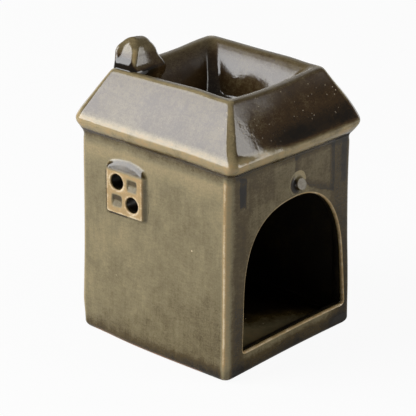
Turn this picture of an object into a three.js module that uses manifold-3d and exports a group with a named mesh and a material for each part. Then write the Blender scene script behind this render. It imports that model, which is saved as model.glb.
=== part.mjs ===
// A wax melt burner: a small glazed stoneware house. A tealight stands inside it, behind
// an arched doorway, and warms the wax in the basin that takes the place of its roof ridge.
// Millimetres, +Z up, the doorway facing -Y. The origin is the middle of the foot.

import * as THREE from 'three';
import { mergeVertices } from 'three/addons/utils/BufferGeometryUtils.js';
import Module from 'manifold-3d';

const wasm = await Module();
wasm.setup();

// Walls
const bodyWidth = 88.4; // across the side walls, where the roof meets them
const bodyDepth = 90; // front to back, where the roof meets the walls
const wallHeight = 99.3; // foot to the underside of the roof
const wallThickness = 5;
const wallFlare = 1.3; // how far each wall leans out by the foot
const wallCornerRadius = 3.4;
const innerCornerRadius = 2.5;
const footRounding = 2.4;
const footRingWidth = 7.5; // flat ring that the burner stands on
const footRecess = 1.2; // the floor's underside is this far off the table

// Floor
const floorThickness = 4.8;
const floorEdgeRounding = 1.5;

// Doorway
const sillHeight = 11.6; // table to the top of the sill
const leftJamb = 11.7; // side of the house to the doorway, at the sill
const rightJamb = 5.3;
const lintelHeight = 22.3; // crown of the arch to the roof
const springRise = 24; // height of the leaning jambs above the sill
const leftJambLean = 0.8; // how far the jamb leans in by the spring of the arch
const rightJambLean = 1.8;
const leftShoulder = 0.69; // fullness of the arch: 0.55 is an ellipse, and more is squarer
const rightShoulder = 0.61;
const crownShift = 0.3; // crown of the arch from the middle of the sill, towards the right

// Boss over the doorway
const bossDiameter = 6.4;
const bossProud = 2.8;
const bossAboveCrown = 6.8;
const bossDomeRadius = 1.3;

// Window in each side wall
const windowWidth = 22.8;
const windowHeight = 21; // flat face, without the sloping head
const windowHeadHeight = 5; // sloping head, at its middle
const windowHeadArch = 3.2; // rise of the head's curved top edge
const windowProud = 2.1;
const windowFromRear = 29; // rear of the house to the middle of the window
const windowBelowRoof = 8.3; // underside of the roof to the window's head
const panePitch = 9.2;
const paneGridRise = 0.8; // the panes sit a little over the middle of the face
const ventDiameter = 7.8; // the two round openings
const paneSize = 6; // the two blind panes, which are square dimples
const paneBottomSize = 3;
const paneDepth = 1.2;

// Roof
const eaveOverhang = 4.4;
const eaveRise = 6.2; // underside of the roof to the tip of the eaves
const eaveTipRadius = 3.6;
const eaveCornerRadius = 6.2;
const roofRise = 24.8; // tip of the eaves to the rim
const rimInset = 10.2; // wall plane to the rim
const rimCornerRadius = 3.2;
const roofThickness = 5;
const roofSeatDrop = 10.3; // rim to the seat of the basin on the roof

// Basin
const basinDepth = 24;
const basinDraft = 10.7; // how far each inner wall leans in by the bottom
const basinMouthCorner = 4.5; // corner radius at the rim
const basinCornerRadius = 9; // the same at the bottom
const basinFillet = 10;
const basinBottom = 4.5; // thickness of the bowl
const rimThickness = 5.6;
const rimRounding = 2.4;

// Chimney
const chimneyWidth = 17; // along the front of the house
const chimneyDepth = 12.4;
const chimneyHeight = 12.2; // above the rim
const chimneyFoot = 10; // how far its foot runs down inside the basin's corner
const chimneyInset = 3.7; // side of the rim to the chimney
const chimneyOverhang = 2.5; // how far it stands out over the rear slope
const chimneyCornerRadius = 3.4;
const chimneyDome = 6.6; // height of its rounded top
const chimneySpread = 3; // how far its foot swells into the basin

// Fit and smoothness
const seam = 0.3; // clearance between pieces that follow each other's curve
const cutMargin = 6; // how far a cutting tool runs past what it cuts
const mergeReach = 1e-4; // points closer than this are one point
const filletShare = 0.49; // share of a profile's side that one fillet may take
const filletStep = 1.4; // length of one step along a fillet
const cornerSteps = 7;
const archSteps = 18;
const ventSteps = 28;
const bossDomeSteps = 4;
const chimneyFootSteps = 7;
const chimneyDomeSteps = 7;
const chimneyDomeSweep = 1.36; // radians of the dome that are rounded, and the rest is flat

// Places worked out from the sizes above
const halfWidth = bodyWidth / 2;
const halfDepth = bodyDepth / 2;
const eaveZ = wallHeight + eaveRise;
const rimZ = eaveZ + roofRise;
const seatZ = rimZ - roofSeatDrop;
const crownZ = wallHeight - lintelHeight;
const floorZ = footRecess + floorThickness;
const lean = (z) => wallFlare * (1 - z / wallHeight);
const slope = (eaveOverhang + rimInset) / roofRise;
const roofOffset = (z) => eaveOverhang - slope * (z - eaveZ);
const roofRun = roofThickness * Math.hypot(1, slope);
const doorwayCrownX = (leftJamb - rightJamb) / 2 + crownShift;

const glaze = new THREE.MeshStandardMaterial({ color: 0x7d7050, roughness: 0.22, metalness: 0 });
const poolGlaze = new THREE.MeshStandardMaterial({ color: 0x4c3d22, roughness: 0.15, metalness: 0 });
const roofGlaze = new THREE.MeshStandardMaterial({ color: 0x736646, roughness: 0.18, metalness: 0 });
const trimGlaze = new THREE.MeshStandardMaterial({ color: 0x97845c, roughness: 0.25, metalness: 0 });

// One turn round a rectangle with rounded corners, anticlockwise from above.
function roundedRectangle({ centreX, centreY, halfX, halfY, corner, z }) {
  const radius = Math.min(corner, halfX, halfY);
  const points = [];
  for (let quarter = 0; quarter < 4; quarter++) {
    const signX = quarter === 0 || quarter === 3 ? 1 : -1;
    const signY = quarter < 2 ? 1 : -1;
    for (let step = 0; step <= cornerSteps; step++) {
      const angle = (quarter + step / cornerSteps) * Math.PI / 2;
      points.push([
        centreX + signX * (halfX - radius) + radius * Math.cos(angle),
        centreY + signY * (halfY - radius) + radius * Math.sin(angle),
        z,
      ]);
    }
  }
  return points;
}

// The same turn about the middle of the house, with its sides at an offset from the wall
// planes: nought is the wall itself, and a negative offset is inside it.
function houseRing({ offset, z, corner }) {
  const halfX = halfWidth + offset;
  const halfY = halfDepth + offset;
  return roundedRectangle({ centreX: 0, centreY: 0, halfX, halfY, corner, z });
}

// Carries a profile round the house. A closed profile makes a ring, and an open one makes
// a solid whose first and last sections are capped.
function carryRound(profile, closed, placeRing = houseRing) {
  const rings = profile.map(placeRing);
  const perRing = rings[0].length;
  const positions = rings.flat(2);
  const index = [];
  const bands = closed ? rings.length : rings.length - 1;
  for (let band = 0; band < bands; band++) {
    const here = band * perRing;
    const next = ((band + 1) % rings.length) * perRing;
    for (let k = 0; k < perRing; k++) {
      const after = (k + 1) % perRing;
      index.push(here + k, here + after, next + after);
      index.push(here + k, next + after, next + k);
    }
  }
  if (!closed) {
    capRing(positions, index, rings[0], 0, false);
    capRing(positions, index, rings.at(-1), (rings.length - 1) * perRing, true);
  }
  const geometry = new THREE.BufferGeometry();
  geometry.setAttribute('position', new THREE.Float32BufferAttribute(positions, 3));
  geometry.setIndex(index);
  return geometry;
}

function capRing(positions, index, ring, start, facingUp) {
  const centre = positions.length / 3;
  const middle = (axis) => ring.reduce((sum, point) => sum + point[axis], 0) / ring.length;
  positions.push(middle(0), middle(1), ring[0][2]);
  for (let k = 0; k < ring.length; k++) {
    const here = start + k;
    const after = start + (k + 1) % ring.length;
    if (facingUp) index.push(centre, here, after);
    else index.push(centre, after, here);
  }
}

// Replaces each profile point that has a fillet by an arc that meets both of its sides.
function roundProfile(points, closed) {
  const rounded = [];
  points.forEach((point, k) => {
    const isEnd = !closed && (k === 0 || k === points.length - 1);
    if (!point.fillet || isEnd) {
      rounded.push(point);
      return;
    }
    const before = points.at(k - 1);
    const after = points[(k + 1) % points.length];
    rounded.push(...filletArc(before, point, after));
  });
  return rounded;
}

function filletArc(before, point, after) {
  const here = new THREE.Vector2(point.offset, point.z);
  const back = new THREE.Vector2(before.offset, before.z).sub(here);
  const ahead = new THREE.Vector2(after.offset, after.z).sub(here);
  const room = Math.min(back.length(), ahead.length()) * filletShare;
  back.normalize();
  ahead.normalize();
  const half = Math.acos(THREE.MathUtils.clamp(back.dot(ahead), -1, 1)) / 2;
  const reach = Math.min(point.fillet / Math.tan(half), room);
  const radius = reach * Math.tan(half);
  const centre = back.clone().add(ahead).normalize().multiplyScalar(radius / Math.sin(half)).add(here);
  const start = here.clone().addScaledVector(back, reach).sub(centre).angle();
  const end = here.clone().addScaledVector(ahead, reach).sub(centre).angle();
  const turn = THREE.MathUtils.euclideanModulo(end - start + Math.PI, 2 * Math.PI) - Math.PI;
  const steps = Math.max(2, Math.round(Math.abs(turn) * radius / filletStep));
  const arc = [];
  for (let step = 0; step <= steps; step++) {
    const angle = start + turn * step / steps;
    arc.push({
      offset: centre.x + radius * Math.cos(angle),
      z: centre.y + radius * Math.sin(angle),
      corner: point.corner,
    });
  }
  return arc;
}

function toSolid(geometry) {
  const bare = geometry.clone();
  bare.deleteAttribute('normal');
  bare.deleteAttribute('uv');
  const merged = mergeVertices(bare, mergeReach);
  return new wasm.Manifold(new wasm.Mesh({
    numProp: 3,
    vertProperties: new Float32Array(merged.attributes.position.array),
    triVerts: new Uint32Array(merged.index.array),
  }));
}

function toMesh(name, solid, material) {
  const { vertProperties, triVerts } = solid.getMesh();
  const geometry = new THREE.BufferGeometry();
  geometry.setAttribute('position', new THREE.Float32BufferAttribute(vertProperties, 3));
  geometry.setIndex(Array.from(triVerts));
  geometry.computeVertexNormals();
  const mesh = new THREE.Mesh(geometry, material);
  mesh.name = name;
  return mesh;
}

// The four walls as one ring, leaning out towards the foot, with a ledge for the floor.
// Growing it gives the space that a piece seated on a wall keeps clear of.
function wallRing(grow) {
  const inside = (z) => lean(z) - wallThickness;
  const ledge = lean(0) - footRingWidth;
  return roundProfile([
    { offset: ledge, z: -grow, corner: innerCornerRadius },
    { offset: lean(0) + grow, z: -grow, corner: wallCornerRadius, fillet: footRounding },
    { offset: grow, z: wallHeight, corner: wallCornerRadius },
    { offset: -wallThickness, z: wallHeight, corner: innerCornerRadius },
    { offset: inside(footRecess), z: footRecess, corner: innerCornerRadius },
    { offset: ledge, z: footRecess, corner: innerCornerRadius },
  ], true);
}

// The doorway's outline in the plane of the front wall. It was cut by hand: the jambs lean
// in a little, and the left shoulder of the arch is the fuller one.
function doorwayShape() {
  const left = leftJamb - halfWidth - lean(sillHeight);
  const right = halfWidth + lean(sillHeight) - rightJamb;
  const crown = doorwayCrownX;
  const springZ = sillHeight + springRise;
  const springLeft = left + leftJambLean;
  const springRight = right - rightJambLean;
  const rise = crownZ - springZ;
  const shape = new THREE.Shape();
  shape.moveTo(left, sillHeight);
  shape.lineTo(right, sillHeight);
  shape.lineTo(springRight, springZ);
  shape.bezierCurveTo(
    springRight - rightJambLean * rightShoulder, springZ + rise * rightShoulder,
    THREE.MathUtils.lerp(crown, springRight, rightShoulder), crownZ,
    crown, crownZ,
  );
  shape.bezierCurveTo(
    THREE.MathUtils.lerp(crown, springLeft, leftShoulder), crownZ,
    springLeft + leftJambLean * leftShoulder, springZ + rise * leftShoulder,
    springLeft, springZ,
  );
  shape.closePath();
  return shape;
}

// A shape drawn in the plane of the front wall, carried back through it.
function frontCutter(shape) {
  const depth = wallThickness + wallFlare + 2 * cutMargin;
  const geometry = new THREE.ExtrudeGeometry(shape, { depth, bevelEnabled: false, curveSegments: archSteps });
  geometry.rotateX(Math.PI / 2);
  geometry.translate(0, cutMargin + wallThickness - halfDepth, 0);
  return toSolid(geometry);
}

// Where a window's middle lies: y along the wall, and z at the middle of its flat face.
const windowY = halfDepth - windowFromRear;
const windowTopZ = wallHeight - windowBelowRoof;
const windowFaceTopZ = windowTopZ - windowHeadHeight;
const windowFaceZ = windowFaceTopZ - windowHeight / 2;
const paneGridZ = windowFaceZ + paneGridRise;

// The two vents run on a diagonal, and on the right wall the diagonal is mirrored.
const vents = [
  { y: windowY + panePitch / 2, z: paneGridZ + panePitch / 2 },
  { y: windowY - panePitch / 2, z: paneGridZ - panePitch / 2 },
];
const blindPanes = [
  { y: windowY - panePitch / 2, z: paneGridZ + panePitch / 2 },
  { y: windowY + panePitch / 2, z: paneGridZ - panePitch / 2 },
];

function ventCutter(side, vent) {
  const length = wallThickness + windowProud + wallFlare + 2 * cutMargin;
  const geometry = new THREE.CylinderGeometry(ventDiameter / 2, ventDiameter / 2, length, ventSteps);
  geometry.rotateZ(Math.PI / 2);
  geometry.translate(side * (halfWidth - wallThickness / 2), vent.y, vent.z);
  return toSolid(geometry);
}

function makeWalls() {
  let solid = toSolid(carryRound(wallRing(0), true));
  solid = solid.subtract(frontCutter(doorwayShape()));
  for (const side of [-1, 1]) {
    for (const vent of vents) solid = solid.subtract(ventCutter(side, vent));
  }
  return toMesh('house_walls', solid, glaze);
}

function makeFloor() {
  const edge = (z) => lean(z) - wallThickness - seam;
  const profile = roundProfile([
    { offset: edge(footRecess), z: footRecess, corner: innerCornerRadius },
    { offset: edge(floorZ), z: floorZ, corner: innerCornerRadius, fillet: floorEdgeRounding },
    { offset: edge(floorZ) - 2 * floorEdgeRounding, z: floorZ, corner: innerCornerRadius },
  ], false);
  return toMesh('floor_slab', toSolid(carryRound(profile, false)), poolGlaze);
}

// The hipped roof: out along the underside of the eaves, up the slope to the basin's seat,
// and back down inside at an even thickness.
function makeRoof() {
  const kneeZ = eaveZ + eaveTipRadius;
  const profile = roundProfile([
    { offset: -wallThickness, z: wallHeight, corner: innerCornerRadius },
    { offset: 0, z: wallHeight, corner: wallCornerRadius },
    { offset: eaveOverhang, z: eaveZ, corner: eaveCornerRadius, fillet: eaveTipRadius },
    { offset: roofOffset(seatZ), z: seatZ, corner: seatCornerRadius() },
    { offset: roofOffset(seatZ) - roofRun, z: seatZ, corner: innerCornerRadius },
    { offset: roofOffset(kneeZ) - roofRun, z: kneeZ, corner: innerCornerRadius },
    { offset: -wallThickness, z: wallHeight + eaveRise / 2, corner: innerCornerRadius },
  ], true);
  return toMesh('hipped_roof', toSolid(carryRound(profile, true)), roofGlaze);
}

// The hips sharpen evenly from the eaves up to the rim.
function seatCornerRadius() {
  return THREE.MathUtils.lerp(rimCornerRadius, eaveCornerRadius, roofSeatDrop / roofRise);
}

// The basin: its lip sits on the roof and carries the slope up to the rim, and the bowl
// hangs inside it with walls that lean in. Growing it gives the space that the chimney
// keeps clear of.
function basinProfile(grow) {
  const seat = roofOffset(seatZ);
  const shoulder = seat - roofRun - seam;
  const inner = -rimInset - rimThickness;
  const bottomZ = rimZ - basinDepth;
  const bottom = inner - basinDraft;
  const underZ = bottomZ - basinBottom;
  const underside = bottom + basinBottom;
  const neck = inner - basinDraft * roofSeatDrop / basinDepth + basinBottom;
  const middle = basinCornerRadius / 2 - halfWidth;
  return roundProfile([
    { offset: middle, z: underZ, corner: basinCornerRadius },
    { offset: underside, z: underZ, corner: basinCornerRadius, fillet: basinFillet + basinBottom / 2 },
    { offset: neck, z: seatZ, corner: basinCornerRadius },
    { offset: shoulder, z: seatZ, corner: basinCornerRadius },
    { offset: seat + grow, z: seatZ, corner: seatCornerRadius() },
    { offset: -rimInset + grow, z: rimZ + grow, corner: rimCornerRadius, fillet: rimRounding },
    { offset: inner - grow, z: rimZ + grow, corner: basinMouthCorner, fillet: rimRounding },
    { offset: bottom - grow, z: bottomZ + grow, corner: basinCornerRadius, fillet: basinFillet },
    { offset: middle, z: bottomZ + grow, corner: basinCornerRadius },
  ], false);
}

function makeBasin() {
  return toMesh('wax_basin', toSolid(carryRound(basinProfile(0), false)), roofGlaze);
}

// The chimney stub: a round-topped post at the rear left corner of the rim, whose foot
// swells over the rim and dies away into the walls of the basin.
function makeChimney() {
  const left = -(halfWidth - rimInset) + chimneyInset;
  const rear = halfDepth - rimInset + chimneyOverhang;
  const domeZ = rimZ + chimneyHeight - chimneyDome;
  const placeRing = ({ spread, shrink, z }) => roundedRectangle({
    centreX: left + (chimneyWidth + spread) / 2,
    centreY: rear - (chimneyDepth + spread) / 2,
    halfX: (chimneyWidth + spread) / 2 - shrink,
    halfY: (chimneyDepth + spread) / 2 - shrink,
    corner: chimneyCornerRadius + shrink / 2,
    z,
  });
  const sections = [];
  for (let step = 0; step <= chimneyFootSteps; step++) {
    const share = step / chimneyFootSteps;
    const z = THREE.MathUtils.lerp(rimZ - chimneyFoot, domeZ, share);
    sections.push({ spread: chimneySpread * Math.sin(Math.PI * share) ** 2, shrink: 0, z });
  }
  for (let step = 1; step <= chimneyDomeSteps; step++) {
    const angle = (step / chimneyDomeSteps) * chimneyDomeSweep;
    const shrink = (chimneyDepth / 2) * (1 - Math.cos(angle));
    sections.push({ spread: 0, shrink, z: domeZ + chimneyDome * Math.sin(angle) / Math.sin(chimneyDomeSweep) });
  }
  const post = toSolid(carryRound(sections, false, placeRing));
  const clear = toSolid(carryRound(basinProfile(seam), false));
  return toMesh('chimney', post.subtract(clear), roofGlaze);
}

// A window: a flat face with a sloping head, standing proud of the side wall, with two
// round vents and two blind panes. Its back follows the leaning wall.
function makeWindow(name, side) {
  let solid = windowSlab(side).intersect(windowOutline(side));
  solid = solid.subtract(toSolid(carryRound(wallRing(seam), true)));
  for (const vent of vents) solid = solid.subtract(ventCutter(side, vent));
  for (const pane of blindPanes) solid = solid.subtract(paneCutter(side, pane));
  return toMesh(name, solid, trimGlaze);
}

const windowPlane = (z) => halfWidth + lean(z) + windowProud;

// The window seen from the front of the house, carried along the wall.
function windowSlab(side) {
  const bottomZ = windowFaceTopZ - windowHeight;
  const back = halfWidth - wallThickness / 2;
  const profile = new THREE.Shape();
  profile.moveTo(side * back, bottomZ);
  profile.lineTo(side * windowPlane(bottomZ), bottomZ);
  profile.lineTo(side * windowPlane(windowFaceTopZ), windowFaceTopZ);
  profile.lineTo(side * (halfWidth + seam), windowTopZ);
  profile.lineTo(side * back, windowTopZ);
  profile.closePath();
  const geometry = new THREE.ExtrudeGeometry(profile, { depth: windowWidth, bevelEnabled: false });
  geometry.rotateX(Math.PI / 2);
  geometry.translate(0, windowY + windowWidth / 2, 0);
  return toSolid(geometry);
}

// The window seen from the side of the house: a rectangle under a shallow arch.
function windowOutline(side) {
  const bottomZ = windowFaceTopZ - windowHeight;
  const half = windowWidth / 2;
  const outline = new THREE.Shape();
  outline.moveTo(windowY - half, bottomZ);
  outline.lineTo(windowY + half, bottomZ);
  outline.lineTo(windowY + half, windowTopZ - windowHeadArch);
  outline.quadraticCurveTo(windowY, windowTopZ + windowHeadArch, windowY - half, windowTopZ - windowHeadArch);
  outline.closePath();
  const depth = wallThickness + windowProud + wallFlare + cutMargin;
  const settings = { depth, bevelEnabled: false, curveSegments: archSteps };
  const geometry = new THREE.ExtrudeGeometry(outline, settings);
  geometry.rotateX(Math.PI / 2);
  geometry.rotateZ(Math.PI / 2);
  const near = halfWidth - wallThickness;
  geometry.translate(side > 0 ? near : -near - depth, 0, 0);
  return toSolid(geometry);
}

// A blind pane: a square dimple whose four sides slope to a smaller square bottom. Its
// mouth is carried past the leaning face at the same slope.
function paneCutter(side, pane) {
  const past = windowProud / 2;
  const spread = (paneSize - paneBottomSize) / paneDepth * past;
  const half = (across) => across / Math.SQRT2;
  const mouth = half(paneSize + spread);
  const geometry = new THREE.CylinderGeometry(mouth, half(paneBottomSize), paneDepth + past, 4);
  geometry.rotateY(Math.PI / 4);
  geometry.rotateZ(-side * Math.PI / 2);
  geometry.translate(side * (windowPlane(pane.z) - (paneDepth - past) / 2), pane.y, pane.z);
  return toSolid(geometry);
}

// The boss over the doorway: a short round peg with a softened face, on the arch's middle.
function makeBoss() {
  const radius = bossDiameter / 2;
  const bossZ = crownZ + bossAboveCrown;
  const back = -wallThickness / 2;
  const face = lean(bossZ) + bossProud;
  const profile = [new THREE.Vector2(0, back), new THREE.Vector2(radius, back)];
  for (let step = 0; step <= bossDomeSteps; step++) {
    const angle = (step / bossDomeSteps) * Math.PI / 2;
    const across = radius - bossDomeRadius * (1 - Math.cos(angle));
    profile.push(new THREE.Vector2(across, face - bossDomeRadius * (1 - Math.sin(angle))));
  }
  profile.push(new THREE.Vector2(0, face));
  const geometry = new THREE.LatheGeometry(profile, ventSteps);
  geometry.rotateX(Math.PI);
  geometry.translate(doorwayCrownX, -halfDepth, bossZ);
  const peg = toSolid(geometry);
  const solid = peg.subtract(toSolid(carryRound(wallRing(seam), true)));
  return toMesh('door_boss', solid, trimGlaze);
}

const group = new THREE.Group();
group.add(
  makeFloor(),
  makeWalls(),
  makeWindow('window_left', -1),
  makeWindow('window_right', 1),
  makeBoss(),
  makeRoof(),
  makeBasin(),
  makeChimney(),
);

export default group;
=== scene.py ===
import math

import bpy
import numpy as np
from bpy.props import FloatProperty, FloatVectorProperty, PointerProperty
from mathutils import Matrix, Vector


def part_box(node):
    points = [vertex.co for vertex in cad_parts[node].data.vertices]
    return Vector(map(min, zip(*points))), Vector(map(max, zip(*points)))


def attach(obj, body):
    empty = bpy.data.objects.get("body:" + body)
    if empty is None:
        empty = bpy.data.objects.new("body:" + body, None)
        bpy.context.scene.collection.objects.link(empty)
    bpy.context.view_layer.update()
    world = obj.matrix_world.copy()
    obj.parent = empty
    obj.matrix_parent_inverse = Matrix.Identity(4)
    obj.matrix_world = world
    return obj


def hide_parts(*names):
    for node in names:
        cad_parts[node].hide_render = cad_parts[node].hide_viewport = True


bl_info = {
    "name": "Wax melt burner",
    "version": (1, 0, 0),
    "blender": (4, 5, 0),
    "location": "3D View > Sidebar > Burner",
    "description": "Builds the glazed pieces of a house-shaped wax melt burner round its packed CAD frame",
    "category": "Add Mesh",
}

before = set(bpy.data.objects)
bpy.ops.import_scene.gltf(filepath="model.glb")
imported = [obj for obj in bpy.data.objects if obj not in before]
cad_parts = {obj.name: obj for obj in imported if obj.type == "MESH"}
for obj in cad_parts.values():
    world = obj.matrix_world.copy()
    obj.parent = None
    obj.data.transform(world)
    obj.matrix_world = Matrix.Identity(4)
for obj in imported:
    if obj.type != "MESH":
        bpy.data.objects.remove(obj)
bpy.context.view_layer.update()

MM = 0.001
WALL_TOP, RIM_TOP, CHIMNEY_TOP = (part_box(node)[1].z / MM for node in ("house_walls", "wax_basin", "chimney"))
SIDE_CELLS = 72
CORNER_CELLS = 14
FINE, COARSE = 0.9 * MM, 2 * MM
SHARP_EDGE = math.radians(40)
FRONT, RIGHT, REAR, LEFT = 0, 2, 4, 6


# ---- sizes and colours that a user would change ----


def length(name, description, default):
    """A length property in metres, whose default is given in millimetres."""
    return FloatProperty(name=name, description=description, default=default * MM, unit="LENGTH",
                         subtype="DISTANCE", precision=5)


def colour(name, description, default):
    """A colour property, written as display values from 0 to 255."""
    linear = [((c / 255 + 0.055) / 1.055) ** 2.4 if c > 10 else c / 255 / 12.92 for c in default]
    return FloatVectorProperty(name=name, description=description, default=linear, size=3, min=0, max=1,
                               subtype="COLOR")


class WallSizes(bpy.types.PropertyGroup):
    """Sizes of the four walls and the floor."""

    width: length("Width", "Across the side walls under the roof", 88.4)
    depth: length("Depth", "Front wall to rear wall under the roof", 90)
    height: length("Height", "Foot to the underside of the roof", WALL_TOP)
    thickness: length("Thickness", "Thickness of a wall", 5)
    flare: length("Flare", "How far a wall leans out by the foot", 1.3)
    corner: length("Corner radius", "Radius of the upright corners under the roof", 3.6)
    foot_corner: length("Foot corner", "The same by the foot", 3.0)
    inner_corner: length("Inner corner radius", "Radius of the corners inside", 2.5)
    foot_rounding: length("Foot rounding", "Radius of the glazed edge over the foot", 3.2)
    foot_ring: length("Foot ring", "Width of the flat ring that it stands on", 7.5)
    foot_recess: length("Foot recess", "Height of the floor's underside", 1.2)
    crease: length("Crease", "Reach of the soft crease under the eaves", 2.2)
    floor_top: length("Floor", "Height of the floor's upper face", 6)
    floor_cove: length("Cove", "Reach of the cove between floor and walls", 4)


class DoorwaySizes(bpy.types.PropertyGroup):
    """Sizes of the arched doorway."""

    sill: length("Sill", "Height of the sill", 11.6)
    left_jamb: length("Left jamb", "Side of the house to the doorway, at the sill", 11.7)
    right_jamb: length("Right jamb", "The same on the right", 5.3)
    crown: length("Crown", "Height of the top of the arch", 77)
    spring: length("Spring", "Height of the leaning jambs over the sill", 24)
    left_lean: length("Left lean", "How far the left jamb leans in", 0.8)
    right_lean: length("Right lean", "How far the right jamb leans in", 1.8)
    left_shoulder: FloatProperty(name="Left shoulder", description="Fullness of the arch", default=0.69)
    right_shoulder: FloatProperty(name="Right shoulder", description="Fullness of the arch", default=0.61)
    crown_x: length("Crown from the middle", "Sideways place of the top of the arch", 3.5)
    lip: length("Lip", "Radius of the doorway's outer edge", 1.0)
    inner_lip: length("Inner lip", "Radius of the doorway's inner edge", 1.3)
    sill_corner: length("Sill corner", "Radius where a jamb meets the sill", 1.4)


class WindowSizes(bpy.types.PropertyGroup):
    """Sizes of a raised window."""

    width: length("Width", "Width of the window", 22.8)
    bottom: length("Bottom", "Height of its lower edge", 65)
    face_top: length("Top of the face", "Height where the head starts to slope", 86)
    top: length("Top", "Height of the head's middle", 91)
    head_arch: length("Arch", "Drop of the head's curved edge to its ends", 3.2)
    head_fall: length("Head fall", "How far the head falls back at its top", 1.29)
    corner: length("Corner radius", "Radius of the window's corners", 1.6)
    proud: length("Proud", "How far it stands out of the wall", 2.1)
    middle: length("Middle", "Its middle, from the middle of the house towards the rear", 16)
    grid_height: length("Grid height", "Height of the middle of the four panes", 76.3)
    pitch: length("Pitch", "Distance between panes", 9.2)
    vent: length("Vent", "Diameter of a round vent", 7.6)
    mouth: length("Mouth", "Radius of the edge of a vent", 0.5)
    sink: length("Sink", "How deep the window's back lies in the wall", 0.7)
    pane: length("Blind pane", "Side of a blind pane", 6.6)
    pane_depth: length("Pane depth", "Depth of a blind pane", 0.9)
    skirt: length("Skirt", "Reach of the glaze round the window", 2.0)


class BossSizes(bpy.types.PropertyGroup):
    """Sizes of the boss over the doorway."""

    diameter: length("Diameter", "Diameter of the boss", 6.4)
    proud: length("Proud", "How far it stands out", 2.6)
    height: length("Height", "Height of its middle", 83.8)
    skirt: length("Skirt", "Reach of the glaze round the boss", 2.8)
    sink: length("Sink", "How deep its back lies in the wall", 0.8)
    tilt_up: FloatProperty(name="Upward tilt", description="Slope of its face", default=0.30)
    tilt_left: FloatProperty(name="Left tilt", description="Slope of its face", default=0.12)


class RoofSizes(bpy.types.PropertyGroup):
    """Sizes of the roof and of the rim of the basin."""

    overhang: length("Overhang", "How far the eaves stand out, at their sharp tip", 4.4)
    eave_height: length("Eave height", "Height of the sharp tip of the eaves", 105.5)
    eave_rounding: length("Eave rounding", "Radius of the tip of the eaves", 3.6)
    eave_corner: length("Eave corner", "Radius of the corners of the eaves", 6.2)
    rim_height: length("Rim height", "Height of the rim", RIM_TOP)
    rim_inset: length("Rim inset", "Wall plane to the rim", 10.2)
    rim_corner: length("Rim corner", "Radius of the outer corners of the rim", 3.2)
    rim_thickness: length("Rim thickness", "Thickness of the rim", 5.6)
    rim_rounding: length("Rim rounding", "Radius of the rim's edges", 2.4)
    thickness: length("Thickness", "Thickness of the slopes", 5)
    seat_height: length("Seat height", "Height where the basin's lip takes over the slope", RIM_TOP - 10.3)


class BasinSizes(bpy.types.PropertyGroup):
    """Sizes of the bowl."""

    depth: length("Depth", "Rim to the bottom of the bowl", 24)
    draft: length("Draft", "How far each inner wall leans in by the bottom", 10.7)
    belly: length("Belly", "How far the inner walls stand off a straight line", -0.9)
    mouth_corner: length("Mouth corner", "Radius of the bowl's corners at the rim", 3.6)
    corner: length("Corner", "Radius of the bowl's corners at the bottom", 6.5)
    fillet: length("Fillet", "Radius between the walls and the bottom", 13)
    lip: length("Lip", "Radius of the inner edge of the rim", 5)
    flare: length("Flare", "How far the mouth of the bowl opens at the rim", 1.3)
    bottom: length("Bottom", "Thickness of the bowl", 4.5)


class ChimneySizes(bpy.types.PropertyGroup):
    """Sizes of the chimney stub."""

    width: length("Width", "Size along the front of the house", 17.0)
    depth: length("Depth", "Size from front to rear", 11.5)
    top: length("Top", "Height of its top", CHIMNEY_TOP)
    left: length("Left", "Place of its left face", -29.5)
    rear: length("Rear", "Place of its rear face", 37.3)
    corner: length("Corner", "Radius of its upright corners", 3.4)
    dome: length("Dome", "Height of its rounded top", 6.6)
    foot: length("Foot", "How far its foot runs down inside the bowl", 10)
    spread: length("Spread", "How far its foot swells", 3)
    cove: length("Cove", "Depth of the hollow in front of its foot", 1.4)
    hollow: length("Hollow", "Depth of the hollow at the left of its foot", 2.2)
    taper: FloatProperty(name="Taper", description="Slope of its sides", default=0.2)
    bend: length("Bend", "How far its front face curves back on the right", 1.0)
    droop: length("Droop", "How far its top falls away to the right", 1.6)
    lean: FloatProperty(name="Lean", description="Slope of its left face", default=0.3)


class HandShaping(bpy.types.PropertyGroup):
    """How far the fired clay has moved from its true shape."""

    rear_left: length("Rear left corner", "Outward movement of this corner under the eaves", 0.85)
    front_right_waist: length("Front right waist", "Inward movement of this corner at two thirds", 0.35)
    front_right_foot: length("Front right foot", "Outward movement of this corner by the foot", 0.3)
    rear_left_foot: length("Rear left foot", "Inward movement of the rear left corner by the foot", 1.2)
    hip: length("Hip", "Softening of the front slope by the near hip", 0.38)
    front_eave: length("Front eave", "How far the eave over the doorway sags on the right", 2.4)
    front_slope: length("Front slope", "How far the left half of the front slope stands forward", 1.8)
    front_rim: length("Front rim", "How far the rim over the doorway sags", 1.1)
    rear_rim: length("Rear rim", "How far the rim sags at the rear left corner", 0.9)
    left_foot_bulge: length("Left foot bulge", "Bulge of the left wall by the foot", 1.0)
    front_foot_hollow: length("Front foot hollow", "Hollow of the front wall by the foot", 0.7)
    waist: length("Waist", "Hollow of the walls half way up", 0.35)
    wander: length("Wander", "Slow waves all over", 0.14)
    front_right_eave: length("Front right eave", "How far it goes in at the eave and out over it", 0.6)
    far_rim: length("Far rim", "Rise of the rim at the far corner", 0.4)
    rim_forward: length("Rim forward", "How far the rim over the doorway stands forward", 0.9)


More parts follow.
